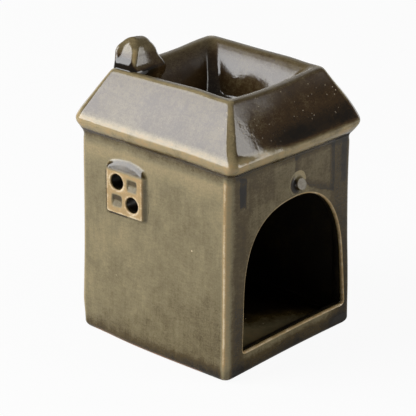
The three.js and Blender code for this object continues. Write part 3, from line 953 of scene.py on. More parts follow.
class BURNER_OT_walls(BurnerOperator, bpy.types.Operator):
    """Builds the walls as one closed ring with the doorway and the vent holes"""

    bl_idname = "burner.walls"
    bl_label = "Walls"

    def execute(self, context):
        house = House(context.scene)
        crease_start = house.crease_stations()[0][1]
        grid_low, grid_high, grid_rows = 8.2 * MM, crease_start - 0.3 * MM, 92
        heights = np.linspace(grid_low, grid_high, grid_rows)
        foot, crease, inner_top, inner_foot = self.profiles(house, heights[0])
        surface = Surface()
        turn = TURNS[None]
        offset, z, _ = np.hsplit(foot, 3)
        clay = self.clay(turn, offset, z)
        foot_numbers = surface.sweep(house, foot, bare=clay, **self.outer_finish(turn, z))
        z = heights[:, None]
        face = surface.add(house.outer(turn, z)[0], **self.outer_finish(turn, z))
        # Into the crease under the eaves the glaze gets darker: partly pooling, partly painted shade.
        fade = np.linspace(0, 1, len(crease))[:, None]
        crease_z = np.array([[97.2 * MM]])
        finish = self.outer_finish(turn, crease_z)
        crease_numbers = surface.sweep(house, crease, thin=finish["thin"] * (1 - fade),
                                       pooled=finish["pooled"] + 0.5 * fade**1.5)
        # The top of the walls and their inner face get the darkest glaze, which paints the shade inside the
        # house.
        top_numbers = surface.sweep(house, inner_top, pooled=0.6)
        back = surface.add(house.inner(turn, z)[0], pooled=1.0)
        end_numbers = surface.sweep(house, inner_foot, bare=1.0)
        numbers = np.concatenate([foot_numbers, face, crease_numbers, top_numbers, back[::-1], end_numbers])
        skip = np.zeros(numbers.shape, bool)
        first_face = len(foot_numbers)
        first_back = first_face + len(face) + len(crease_numbers) + len(top_numbers)
        for block in self.blocks(house, heights):
            rows, columns = block["rows"], block["columns"]
            self.cut(surface, house, heights, face, back, block)
            skip[first_face + rows[0]: first_face + rows[1], columns[0]: columns[1]] = True
            low = first_back + len(heights) - 1 - rows[1]
            skip[low: low + rows[1] - rows[0], columns[0]: columns[1]] = True
        surface.weave(numbers, close_rows=True, close_columns=True, skip=skip)
        material = make_glaze(context.scene, "wall_glaze", depth=0.5, haze=0.14, marks_and_painted_light=runs_and_painted_reflections)
        surface.make("glazed_walls", material, "wall_glaze", "house_walls")
        return {"FINISHED"}

    @staticmethod
    def profiles(house, foot_top):
        """What joins the two faces below and above: the rounded foot, the crease under the eaves, the flat
        top and the inside of the foot."""
        walls = house.walls
        crease_low, crease_mid, crease_high = house.crease_stations()
        ring_edge = walls.flare - walls.foot_ring
        foot = trace_profile([
            (ring_edge, 0, walls.inner_corner, 0),
            (walls.flare, 0, walls.foot_corner, walls.foot_rounding),
            (house.lean(foot_top), foot_top, house.corner(foot_top), 0),
        ], FINE, False)[:-1]
        steps = 7
        crease = bezier([crease_low, crease_mid, crease_high[:2]], steps)
        crease = np.column_stack([crease, np.linspace(walls.corner, crease_high[2], steps)])
        inner_top = trace_profile([
            (*crease_high, 0),
            (-walls.thickness, crease_high[1], walls.inner_corner, 0),
        ], COARSE, False)[1:]
        inner_foot = trace_profile([
            (walls.flare - walls.thickness, walls.foot_recess, walls.inner_corner, 0),
            (ring_edge, walls.foot_recess, walls.inner_corner, 0),
            (ring_edge, 0, walls.inner_corner, 0),
        ], COARSE, False)[:-1]
        return foot, crease, inner_top, inner_foot

    @staticmethod
    def clay(turn, offset, z):
        """Bare clay under the foot, and half bare along the foot of the left wall."""
        on_left = (np.floor(turn) % 8 == LEFT) * (np.abs(turn % 1 - 0.45) < 0.42)
        return np.maximum(0.55 * on_left * falling(1, 2, z / MM), offset < -3 * MM)

    @staticmethod
    def outer_finish(turn, z):
        """Thin glaze on the corners, with its thinnest line at the left edge of the near one, which is a
        painted highlight. Darker glaze under the eaves, by the foot and all over the front wall: partly
        pooling and partly painted shade. A lighter band at sill height in the doorway is a painted highlight."""
        turn, z = np.broadcast_arrays(turn, z / MM)
        side = counted(turn)
        # The strip on the near corner is thinnest at its left edge, where the thin glaze paints a highlight.
        strip = 1.1 * plateau(-0.06, 0.16, 0.55, 0.9, side + 1) * (1 - 0.6 * smoothstep(0.15, 0.45, side + 1))
        corner = np.where(side <= 0, strip, corner_share(turn) ** 1.2 * np.where(side < 2, 0.15, 0.6))
        on_left = np.floor(turn) % 8 == LEFT
        toward_near = smoothstep(0.2, 1.0, turn % 1) * on_left
        foot = falling(2, 10, z)
        thin = corner * (1 - 0.55 * foot) * falling(96, 99, z) + 0.3 * plateau(84, 93, 94, 96, z) * on_left
        from_near = np.where(side < 0, side * 5.6, side * 90)
        front = smoothstep(-1.6, 1.6, from_near) * falling(1.0, 1.3, side)
        # A lighter band at sill height in the doorway: a painted highlight.
        sill_highlight = bump(10.2, 3.4, z) * plateau(0.06, 0.16, 0.9, 0.96, side)
        # The front wall's darker glaze, most by the foot and beside the near corner, is painted shade.
        front_wall_shade = 0.30 + 0.14 * falling(10, 60, z) + 0.18 * bump(4, 11, from_near) - 0.3 * sill_highlight
        # By the foot the glaze gets darker all round: partly pooling, partly painted shade.
        pooled = foot * (0.40 + 0.3 * toward_near) + front * front_wall_shade
        pooled += 0.10 * on_left * falling(8, 34, z) + 0.16 * toward_near * falling(20, 70, z)
        # Darker at the right end of the front wall, and under the eaves as painted shade.
        pooled += 0.34 * plateau(0.8, 0.92, 1.9, 2.0, side) + 0.2 * smoothstep(96.0, 97.6, z)
        return {"thin": thin, "pooled": np.clip(pooled, 0, 1)}

    @staticmethod
    def blocks(house, heights):
        """The holes in the walls, each with the block of the grid that it is cut in."""
        doorway, window = house.doorway, house.window
        block_top = doorway.crown + 7 * MM
        near_corner, far_corner = -0.5, 1.67
        made = [{
            "side": FRONT,
            "rows": (1, nearest(heights, block_top)),
            "columns": (nearest(TURNS, near_corner), nearest(TURNS, far_corner)),
        }]
        vents, _ = vent_places(window)
        half = window.pitch / 2
        for side in (RIGHT, LEFT):
            for away, height in vents:
                along = side_along(side, window.middle + away)
                low = house.turn_of(side, along - half, height)
                high = house.turn_of(side, along + half, height)
                made.append({
                    "side": side,
                    "rows": (nearest(heights, height - half), nearest(heights, height + half)),
                    "columns": (nearest(TURNS, low), nearest(TURNS, high)),
                    "vent": (along, height),
                })
        return made

    def cut(self, surface, house, heights, face, back, block):
        """Cuts one hole: a patch in each face and a tunnel between them."""
        rows, columns, side = block["rows"], block["columns"], block["side"]
        places = block_places(TURNS, heights, rows, columns)
        if "vent" in block:
            radius = house.window.vent / 2
            along = (places[:, 0] - side) * 2 - 1
            away = np.stack([along * house.run(side, places[:, 1]), places[:, 1]], 1) - block["vent"]
            outline = block["vent"] + radius * away / np.hypot(*away.T)[:, None]
            loops = [(outline, False), (outline, True)]
            turns = house.turn_of(side, outline[:, 0], outline[:, 1])
            start, out = house.outer(turns, outline[:, 1])
            # The bore gets the darkest glaze: painted shade.
            tunnel = [(start - out * depth, {"pooled": 1.0}) for depth in (0.1 * MM, 2 * MM)]
        else:
            count = columns[1] - columns[0], rows[1] - rows[0]
            sides = doorway_sides(house)
            outline = np.concatenate([resample(line, n) for line, n in zip(sides, count * 2)])
            out = outline_normals(outline)
            doorway = house.doorway
            loops = [(outline + out * spread, inner)
                     for spread, inner in ((doorway.lip * 1.05, False), (doorway.inner_lip * 0.6, True))]
            tunnel = self.tunnel(house, outline, out)
        # The inner face round each hole gets the darkest glaze too: painted shade.
        finishes = self.outer_finish, lambda turn, z: {"pooled": 1.0}
        ends = []
        for (loop, inner), numbers, finish in zip(loops, (face, back), finishes):
            along = loop[:, 0]
            if inner and side == FRONT:
                limit = house.inner_limit(loop[:, 1])
                along = np.clip(along, -limit, limit)
            hole = np.stack([house.turn_of(side, along, loop[:, 1], inner), loop[:, 1]], 1)
            sheet = house.inner if inner else house.outer
            steps = 14 if side == FRONT and not inner else 5
            ends.append(ring_patch(surface, sheet, numbers, places, rows, columns, hole, steps, inner,
                                   finish))
        middle = [surface.add(points, **finish) for points, finish in tunnel]
        surface.stack([ends[0], *middle, ends[1]])

    @staticmethod
    def tunnel(house, outline, out):
        """Loops from the doorway's outer lip to its inner one. Each lip is a quarter circle, and between them
        the depth grows evenly."""
        doorway = house.doorway

        def front_y(x, z, inner):
            side = house.turn_of(FRONT, x, z, inner)
            sheet = house.inner if inner else house.outer
            return sheet(side, z)[0][:, 1]

        made = []
        for angle in np.linspace(0, math.pi / 2, 7)[1:]:
            loop = outline + out * doorway.lip * (1 - math.sin(angle))
            y = front_y(*loop.T, False) + doorway.lip * (1 - math.cos(angle))
            made.append((np.stack([loop[:, 0], y, loop[:, 1]], 1), {"thin": 0.85}))
        limit = house.inner_limit(outline[:, 1])
        clipped = np.clip(outline[:, 0], -limit, limit)
        near = front_y(*outline.T, False) + doorway.lip
        far = front_y(clipped, outline[:, 1], True) - doorway.inner_lip
        for share in np.linspace(0, 1, 5)[1:]:
            y = near + (far - near) * share
            # Further in the doorway the glaze gets darker: painted shade, partly pooling.
            finish = {"thin": 0.35 * max(0, 1 - 3 * share), "pooled": min(1, 0.4 + 2 * share)}
            made.append((np.stack([outline[:, 0], y, outline[:, 1]], 1), finish))
        return made


class BURNER_OT_floor(BurnerOperator, bpy.types.Operator):
    """Builds the floor, coved up to the walls"""

    bl_idname = "burner.floor"
    bl_label = "Floor"

    def execute(self, context):
        house = House(context.scene)
        walls = house.walls
        edge = walls.flare - walls.thickness
        middle = -house.half_x + 6 * MM
        cove = bezier([
            (edge, walls.floor_top + walls.floor_cove), (edge, walls.floor_top),
            (edge - walls.floor_cove, walls.floor_top),
        ], 9)
        line = [(middle, walls.foot_recess), (edge, walls.foot_recess), *cove, (middle, walls.floor_top)]
        profile = trace_profile([(*point, walls.inner_corner, 0) for point in line], 3 * MM, False)
        offset, z, _ = np.hsplit(profile, 3)
        surface = Surface()
        numbers = surface.sweep(house, profile, pooled=0.4 * (offset > -8 * MM),
                                bare=1.0 * (z < walls.foot_recess + 1e-6))
        surface.weave(numbers, close_columns=True)
        surface.cap(numbers[0], (0, 0, profile[0, 1]), flip=True, bare=1.0)
        surface.cap(numbers[-1], (0, 0, profile[-1, 1]))
        material = make_glaze(context.scene, "pooled_glaze", depth=0.36, haze=0.10, marks_and_painted_light=floor_painted_light_and_shade)
        surface.make("glazed_floor", material, "pooled_glaze", "floor_slab")
        return {"FINISHED"}


class BURNER_OT_windows(BurnerOperator, bpy.types.Operator):
    """Builds the raised window in each side wall"""

    bl_idname = "burner.windows"
    bl_label = "Windows"

    def execute(self, context):
        material = make_glaze(context.scene, "trim_glaze", depth=0.5, haze=0.12)
        for name, side in (("left", LEFT), ("right", RIGHT)):
            self.build(context.scene, name, side, material)
        return {"FINISHED"}

    def build(self, scene, name, side, material):
        house = House(scene)
        window = house.window
        skirt = window.skirt
        step = 0.3 * MM
        half = window.width / 2 + skirt
        low, high = window.bottom - skirt, window.top + skirt
        across = np.linspace(-half, half, int(2 * half / step) + 1)
        heights = np.linspace(low, high, int((high - low) / step) + 1)
        v, w = np.meshgrid(across, heights)
        surface = Surface()
        rise = self.relief(window, v, w)
        front = surface.add(self.place(house, side, v, w, rise), **self.finish(window, v, w))
        back = surface.add(self.place(house, side, v, w, -window.sink), pooled=0.5)
        skip = np.zeros(v.shape, bool)
        flip = side == LEFT
        vents, _ = vent_places(window)
        for away, height in vents:
            reach = 0.46 * window.pitch
            rows = nearest(heights, height - reach), nearest(heights, height + reach)
            columns = nearest(across, away - reach), nearest(across, away + reach)
            skip[rows[0]: rows[1], columns[0]: columns[1]] = True
            self.vent(surface, house, side, front, back, across, heights, rows, columns, (away, height), flip)
        for numbers, is_back in ((front, False), (back, True)):
            turned = numbers[:, ::-1] if flip != is_back else numbers
            skipped = np.roll(skip[:, ::-1], -1, axis=1) if flip != is_back else skip
            surface.weave(turned, skip=skipped)
        whole = (0, len(heights) - 1), (0, len(across) - 1)
        surface.bridge(block_loop(front, *whole), block_loop(back, *whole), flip=not flip)
        surface.make(f"glazed_window_{name}", material, "trim_glaze", f"window_{name}")

    @staticmethod
    def place(house, side, away, z, rise):
        """A point at a rise over the wall's own face."""
        return house.raised(side, side_along(side, house.window.middle + away), z, rise)

    @staticmethod
    def edge_distance(window, away, z):
        """Distance inside the window's outline: the least of the distances to its sides, its foot and the
        parabola of its head, with the corners rounded."""
        sides, foot = window.width / 2 - np.abs(away), z - window.bottom
        head = window.top - window.head_arch * (2 * away / window.width) ** 2
        top = (head - z) * 0.95
        least = np.minimum(np.minimum(sides, foot), top)
        for other in (foot, top):
            across, up = np.maximum(window.corner - sides, 0), np.maximum(window.corner - other, 0)
            cornered = window.corner - np.hypot(across, up)
            least = np.where((across > 0) & (up > 0), np.minimum(least, cornered), least)
        return least

    def relief(self, window, away, z):
        """Height over the wall: a face with softened edges, a sloping head, dimples for the blind panes and a
        skirt of glaze that runs out at nothing."""
        inside, over = self.edge_distance(window, away, z) / MM, (z - window.face_top) / MM
        face = window.proud - window.head_fall * np.clip(over * MM / (window.top - window.face_top), 0, 1.1)
        soft = smoothstep(-3.0, 0.3, over)
        top = face * smoothstep(-0.7 - 1.2 * soft, 0.8 + 0.5 * soft, inside)
        share = np.clip(1 + inside * MM / window.skirt, 0, 1)
        skirt = (0.4 * share**3 * falling(-1, 1.5, over) - 0.1 * falling(0, 0.5, share)) * MM
        dimple = 0
        for across, up in self.panes(window, away, z):
            groove = np.clip(1 - np.abs(up) / (0.5 * window.pane), 0, 1)
            dimple += window.pane_depth * groove * falling(0.36, 0.52, np.abs(across) / window.pane)
        return np.maximum(top, skirt) - dimple

    @staticmethod
    def panes(window, away, z):
        """Places over each blind pane, across and up from its middle."""
        _, panes = vent_places(window)
        return [(away - pane_away, z - pane_z) for pane_away, pane_z in panes]

    def finish(self, window, away, z):
        """Thin glaze on the face and thinnest round its edges and the vents, and pooled on the head, in the
        upper halves of the blind panes and round the outside. In the upper halves of the blind panes the
        darker glaze is painted shade, and round the outside it is darker on the rear side, partly a painted
        shadow."""
        inside, over = self.edge_distance(window, away, z) / MM, (z - window.face_top) / MM
        head = smoothstep(-0.6, 1.4, over) * smoothstep(-1.5, 0.1, inside)
        thin = (0.7 * smoothstep(0, 0.7, inside) + 0.35 * bump(0.6, 1.3, inside)) * (1 - head)
        thin += 0.3 * smoothstep(-2, 7, over) * falling(-0.5, 0.1, inside)
        # Round the outside, darker on the rear side: partly pooling, partly a painted shadow.
        pooled = bump(-0.9, 1.5, inside) * falling(-3, 0, over) * (0.45 + 0.3 * np.sign(away)) + head * 0.72
        for vent_away, vent_z in vent_places(window)[0]:
            gap = (np.hypot(away - vent_away, z - vent_z) - window.vent / 2) / MM
            thin += 0.35 * bump(0.3, 1.4, gap) * (1 - head)
        for across, up in self.panes(window, away, z):
            inside_pane = falling(0.36, 0.53, (across**6 + up**6) ** (1 / 6) / window.pane)
            thin *= 1 - inside_pane
            # Darker in the upper half of each blind pane: painted shade.
            pooled += (0.22 + 0.4 * smoothstep(-0.4, 0.8, up / MM)) * inside_pane
        return {"thin": np.clip(thin, 0, 1), "pooled": np.clip(pooled, 0, 1)}

    def vent(self, surface, house, side, front, back, across, heights, rows, columns, centre, flip):
        """One round vent through the window: a rounded mouth, and a bore down into the wall."""
        window = house.window
        places = block_places(across, heights, rows, columns)
        away = places - centre
        direction = away / np.hypot(*away.T)[:, None]
        mouth, radius = window.mouth, window.vent / 2
        hole = centre + direction * (radius + mouth)
        bore = centre + direction * radius

        def front_sheet(v, w):
            return self.place(house, side, v, w, self.relief(window, v, w)), None

        def back_sheet(v, w):
            return self.place(house, side, v, w, -window.sink), None

        first = ring_patch(surface, front_sheet, front, places, rows, columns, hole, 6, flip,
                           lambda v, w: self.finish(window, v, w))
        last = ring_patch(surface, back_sheet, back, places, rows, columns, bore, 4, not flip,
                          lambda v, w: {"pooled": 0.5})
        level = self.relief(window, hole[:, 0], hole[:, 1])
        steps = []
        for angle in np.linspace(0, math.pi / 2, 6)[1:]:
            spot = centre + direction * (radius + mouth * (1 - math.sin(angle)))
            steps.append((spot, level - mouth * (1 - math.cos(angle)), {"thin": 1.0 - 0.4 * angle}))
        # The bore of each vent gets the darkest glaze: painted shade.
        steps += [(bore, rise, {"pooled": 1.0}) for rise in (level - 1.2 * MM, -0.4 * MM)]
        middle = [surface.add(self.place(house, side, *spot.T, rise), **finish)
                  for spot, rise, finish in steps]
        surface.stack([first, *middle, last], flip=flip)


class BURNER_OT_boss(BurnerOperator, bpy.types.Operator):
    """Builds the boss over the doorway"""

    bl_idname = "burner.boss"
    bl_label = "Boss"

    def execute(self, context):
        house = House(context.scene)
        boss = context.scene.burner_boss
        edge = boss.diameter / 2 + 0.4 * MM
        radii = np.concatenate([np.linspace(0.15, 1, 16) * edge,
                                edge + np.linspace(0, 1, 14)[1:] * (boss.skirt - 0.4 * MM)])
        angles = np.linspace(0, 2 * math.pi, 72, endpoint=False)
        r, a = np.meshgrid(radii, angles, indexing="ij")
        surface = Surface()
        centre = np.array([house.doorway.crown_x, boss.height])
        rise = self.relief(boss, r, a)
        front = surface.add(self.place(house, centre, r, a, rise), **self.finish(boss, r, a))
        back = surface.add(self.place(house, centre, r, a, -boss.sink), pooled=0.5)
        for numbers, flip in ((front, False), (back, True)):
            surface.stack(numbers, flip=not flip)
        surface.bridge(front[-1], back[-1], flip=True)
        middle = np.zeros(1)
        for loop, rise, flip, pooled in ((front[0], self.relief(boss, middle, 0), False, 0.3),
                                         (back[0], -boss.sink, True, 0.5)):
            surface.cap(loop, self.place(house, centre, middle, middle, rise)[0], flip=flip, pooled=pooled)
        material = make_glaze(context.scene, "boss_glaze", depth=0.5, haze=0.5)
        surface.make("glazed_boss", material, "trim_glaze", "door_boss")
        return {"FINISHED"}

    @staticmethod
    def place(house, centre, r, a, rise):
        """A point over the front wall, at a distance and an angle from the boss' middle."""
        return house.raised(FRONT, centre[0] + r * np.cos(a), centre[1] + r * np.sin(a), rise)

    @staticmethod
    def relief(boss, r, a):
        """A flat tilted peg with softened edges, and a hollow skirt that runs out at nothing."""
        past = (r - boss.diameter / 2) / MM
        tilt = (r * np.cos(a) * boss.tilt_left - r * np.sin(a) * boss.tilt_up) * (past < 0.4)
        peg = (boss.proud + tilt) * falling(-0.5, 0.4, past)
        share = np.clip(1 - past * MM / boss.skirt, 0, 1)
        skirt = (0.5 * share**3 - 0.1 * falling(0, 0.4, share)) * MM
        return np.maximum(peg, skirt)

    @staticmethod
    def finish(boss, r, a):
        """Lighter above it, and darker at its left and below: the cosine of the angle from there."""
        past = (r - boss.diameter / 2) / MM
        toward = np.cos(a - math.radians(212))
        halo = smoothstep(-0.1, 0.7, -toward) * smoothstep(0.2, 1, past)
        beside = plateau(-0.5, 0, 1.2, 2.6, past) * smoothstep(-0.1, 0.6, toward)
        return {"thin": 0.3 * halo, "pooled": np.clip(0.35 * falling(-0.6, 0, past) + beside, 0, 1)}


class BURNER_OT_roof(BurnerOperator, bpy.types.Operator):
    """Builds the hipped roof with its eaves"""

    bl_idname = "burner.roof"
    bl_label = "Roof"

    def execute(self, context):
        house = House(context.scene)
        walls, roof = house.walls, house.roof
        crease_high = house.crease_stations()[2]
        seat, run = house.slope_offset(roof.seat_height), house.slope_run()
        knee = roof.eave_height + roof.eave_rounding
        profile = trace_profile([
            (-walls.thickness, crease_high[1], walls.inner_corner, 0),
            (*crease_high, 0),
            (roof.overhang, roof.eave_height, roof.eave_corner, roof.eave_rounding),
            (seat, roof.seat_height, house.slope_corner(roof.seat_height), 0),
            (seat - run, roof.seat_height, walls.inner_corner, 0),
            (house.slope_offset(knee) - run, knee, walls.inner_corner, 0),
            (-walls.thickness, walls.height + (roof.eave_height - walls.height) / 2, walls.inner_corner, 0),
        ], FINE, True)
        self.soften(profile)
        points, _ = house.ring(TURNS[None], *np.hsplit(profile, 3))
        surface = Surface()
        numbers = surface.add(points, **self.finish(profile, points[..., 0]))
        surface.weave(numbers, close_rows=True, close_columns=True)
        material = make_glaze(context.scene, "roof_glaze", depth=0.66, haze=0.03, roof=True)
        surface.make("glazed_roof", material, "roof_glaze", "hipped_roof")
        return {"FINISHED"}

    @staticmethod
    def soften(profile):
        """Softens the tip of the eaves: eight times each point goes towards the middle of its neighbours, by
        half the square root of a bell round the tip."""
        offset, z, _ = np.hsplit(profile[1:-1] / MM, 3)
        by_tip = bump(107, 5.6, z) ** 0.5 * (offset > -4)
        for _ in range(8):
            between = (profile[:-2] + profile[2:]) / 2
            profile[1:-1] += 0.5 * by_tip * (between - profile[1:-1])

    @staticmethod
    def finish(profile, x):
        """Thin glaze round the tip of the eaves, higher up on the left, where the lighter band is a painted
        highlight, and along the hips, and pooled under the eaves, partly as painted shade, and over the right
        of the front one."""
        turn = TURNS[None]
        offset, z, _ = np.hsplit(profile / MM, 3)
        outside = smoothstep(-9, -7.5, offset + 0.6 * (z - 105))
        lit = falling(-30, -8, x / MM)
        tip = 0.6 * bump(0, 2.0, np.hypot(offset - 3.6, z - 104.2))
        # On the left the thin band reaches higher: a painted highlight.
        edge = 0.8 * plateau(101, 102.5, 106.5 + 1.2 * lit, 109.5 + 1.2 * lit, z)
        hip = on_hip(turn) * smoothstep(102, 105, z) * (0.55 + 0.35 * bump(106, 8, z))
        thin = np.clip(np.maximum(np.maximum(tip, edge), hip) * outside, 0, 1)
        # Darker under the eaves: partly pooling, partly painted shade.
        under = 0.55 * falling(1.0, 3.2, offset) * (z < 103.5)
        front = facing_front(turn) * (0.5 * bump(111, 7, z) * (1 - lit) + 0.12 * (thin < 0.1))
        return {"thin": thin, "pooled": np.clip(under + front, 0, 1)}


class BURNER_OT_basin(BurnerOperator, bpy.types.Operator):
    """Builds the basin with its rim"""

    bl_idname = "burner.basin"
    bl_label = "Basin"

    def execute(self, context):
        house = House(context.scene)
        roof, basin = house.roof, context.scene.burner_basin
        seat, seam = house.slope_offset(roof.seat_height), 0.3 * MM
        shoulder = seat - house.slope_run() - seam
        inner = -roof.rim_inset - roof.rim_thickness
        bottom = roof.rim_height - basin.depth
        middle = 5 * MM - house.half_x
        share = np.linspace(0, 1, 17)
        mouth = basin.flare * np.clip(1 - share / 0.3, 0, 1) ** 2
        wall = np.stack([inner - basin.draft * share + basin.belly * np.sin(math.pi * share) + mouth,
                         roof.rim_height - basin.depth * share], 1)
        corners = basin.mouth_corner + (basin.corner - basin.mouth_corner) * share
        neck = inner - basin.draft * (roof.rim_height - roof.seat_height) / basin.depth + basin.bottom
        stations = [
            (middle, bottom - basin.bottom, basin.corner, 0),
            (inner - basin.draft + basin.bottom, bottom - basin.bottom, basin.corner, basin.fillet),
            (neck, roof.seat_height, basin.corner, 0),
            (shoulder, roof.seat_height, basin.corner, 0),
            (seat, roof.seat_height, house.slope_corner(roof.seat_height), 0),
            (-roof.rim_inset, roof.rim_height, roof.rim_corner, roof.rim_rounding),
            (*wall[0], corners[0], basin.lip),
        ]
        stations += [(*place, corner, 0) for place, corner in zip(wall[2:11], corners[2:11])]
        stations += [(*wall[-1], corners[-1], basin.fillet), (middle, bottom, basin.corner, 0)]
        profile = trace_profile(stations, FINE, False)
        surface = Surface()
        numbers = surface.sweep(house, profile, **self.finish(profile, roof.rim_height))
        surface.weave(numbers, close_columns=True)
        surface.cap(numbers[0], (0, 0, profile[0, 1]), flip=True, pooled=0.5)
        surface.cap(numbers[-1], (0, 0, profile[-1, 1]), pooled=0.5)
        material = make_glaze(context.scene, "basin_glaze", depth=0.66, haze=0.03, roof=True, haze_lip=0.17)
        surface.make("glazed_basin", material, "roof_glaze", "wax_basin")
        return {"FINISHED"}

    @staticmethod
    def finish(profile, rim_height):
        """Thin glaze on the rim, most of all on its near edges, and along the hips, and a little pooled
        inside."""
        turn = TURNS[None]
        side = counted(turn)
        offset, z, _ = np.hsplit(profile / MM, 3)
        front = facing_front(turn)
        near_left = smoothstep(5.6, 6.0, side) + (side < 0)
        outside = smoothstep(-13.5, -12, offset) * smoothstep(119, 120, z)
        edge = bump(0, 1.9, np.hypot(offset + 10.9, z - 129.2)) * (1.2 * near_left + 0.5 * front)
        top = 0.3 * smoothstep(128.8, 130.2, z)
        hip = 0.65 * on_hip(turn) * outside
        haze = 0.16 * smoothstep(121, 128, z) * (1 - outside)
        thin = np.maximum(np.maximum(edge, top), np.maximum(hip, haze))
        inside = falling(-17, -15, offset) * smoothstep(0, 5, rim_height / MM - z)
        return {"thin": np.clip(thin, 0, 1), "pooled": 0.1 * inside + 0.12 * front * outside}


class BURNER_OT_chimney(BurnerOperator, bpy.types.Operator):
    """Builds the chimney stub"""

    bl_idname = "burner.chimney"
    bl_label = "Chimney"

    def execute(self, context):
        chimney = context.scene.burner_chimney
        rim = context.scene.burner_roof.rim_height
        low, sides_top = rim - chimney.foot, chimney.top - chimney.dome
        z, shrink = self.levels(chimney, low, sides_top)
        left, right, front, rear = self.sides(chimney, z, low, sides_top)
        half_x, half_y = (right - left) / 2 - 0.85 * shrink, (rear - front) / 2 - shrink
        corner = np.minimum(chimney.corner - 0.9 * MM + 1.3 * shrink, 0.98 * np.minimum(half_x, half_y))
        centre = np.hstack([(left + right) / 2, (front + rear) / 2])
        turn = TURNS[None, ::2]
        places = rounded_turn(turn, half_x, half_y, corner)[0] + centre[:, None]
        across = (places[..., 0] - left) / (right - left)
        forward = np.clip((chimney.rear - places[..., 1]) / chimney.depth, 0, 1)
        points = self.worn(chimney, rim, places, z, across, forward)
        surface = Surface()
        numbers = surface.add(points, **self.finish(turn, (z - rim) / MM, (z - sides_top) / MM))
        surface.weave(numbers, close_columns=True)
        surface.cap(numbers[0], (*centre[0], low), flip=True, pooled=0.5)
        surface.cap(numbers[-1], (*centre[-1], chimney.top))
        material = make_glaze(context.scene, "chimney_glaze", depth=0.64, haze=0.05, roof=True, haze_lip=0.03,
                              ripple=0.1, relief=0.05)
        surface.make("glazed_chimney", material, "roof_glaze", "chimney")
        return {"FINISHED"}

    @staticmethod
    def levels(chimney, low, sides_top):
        """Heights of the rows as a column, and how far each stands in from the sides: a quarter of an ellipse
        over the dome."""
        upright = np.linspace(low, sides_top, 40)
        swing = np.linspace(0, math.pi / 2, 22)[1:-1]
        z = np.concatenate([upright, sides_top + chimney.dome * np.sin(swing)])
        shrink = np.concatenate([0 * upright, chimney.depth / 2 * (1 - np.cos(swing))])
        return z[:, None], shrink[:, None]

    @staticmethod
    def sides(chimney, z, low, sides_top):
        """Places of the left, right, front and rear face at each height. They taper in straight lines, and
        the foot swells by the square of a sine of the height."""
        swell = chimney.spread * np.sin(math.pi * np.clip((z - low) / (sides_top - low), 0, 1)) ** 2
        taper = chimney.taper * np.clip(sides_top + 1 * MM - z, -1 * MM, 9 * MM)
        spread = 0.08 * np.clip(sides_top + 2 * MM - z, 0, 12 * MM)
        left = chimney.left - 0.5 * taper
        right = chimney.left + chimney.width + 0.3 * taper + swell + spread
        front = chimney.rear - chimney.depth - 0.8 * taper - 0.4 * swell
        return left, right, front, np.full(z.shape, chimney.rear)

    @staticmethod
    def worn(chimney, rim, places, z, across, forward):
        """The points with the hollows at the left and in front of the foot, the left face leaning in over it,
        the front face bent back on the right, and the top fallen away to the right, each as a square."""
        lean = chimney.lean * np.maximum(z - rim - 0.5 * MM, 0)
        hollow = chimney.hollow * np.clip(1 - (z - rim) / (5 * MM), 0, 1) ** 2
        cove = chimney.cove * np.clip(1 - (z - rim) / (1.8 * MM), 0, 1) ** 2
        bend = chimney.bend * np.clip((across - 0.4) / 0.6, 0, 1) ** 2
        droop = chimney.droop * np.clip((across - 0.15) / 0.85, -1, 1) ** 2
        x = places[..., 0] + (lean - hollow) * falling(0, 0.6, across) * smoothstep(0, 0.4, forward)
        y = places[..., 1] + bend * forward
        y = y - cove * falling(0.2, 0.65, across) * smoothstep(0.4, 0.9, forward)
        return np.stack([x, y, z - droop * smoothstep(rim + 2 * MM, chimney.top, z)], -1)

    @staticmethod
    def finish(turn, over_rim, over_sides):
        """Pooled glaze in the hollow round the foot, higher on the left, partly painted shade, and thin glaze
        on the near edge and over the top. The heights over the rim and over the upright sides are in
        millimetres."""
        side = counted(turn)
        on_left = np.where(side < 0, -side, smoothstep(5.6, 6, side))
        on_rear, on_right = plateau(2.6, 3.4, 5, 5.6, side), plateau(0.2, 0.9, 2.2, 2.8, side)
        # The darker glaze round the foot, reaching higher on the left, is partly painted shade.
        groove = falling(-0.8, 0.8, over_rim - 4.2 * on_left)
        fill = groove * (0.35 + 0.65 * smoothstep(-4.5, -1.5, over_rim))
        fill = fill * (1 - on_rear) * (1 - 0.65 * on_right)
        near_edge = 0.95 * smoothstep(0.5, 0.95, corner_share(turn)) * (side < 0) * (1 - groove)
        thin = near_edge * falling(0, 3, over_sides) + 0.35 * smoothstep(-1, 2, over_sides)
        return {"thin": np.clip(thin, 0, 1), "pooled": fill * (1 - 0.2 * on_left)}


# ---- stage ----


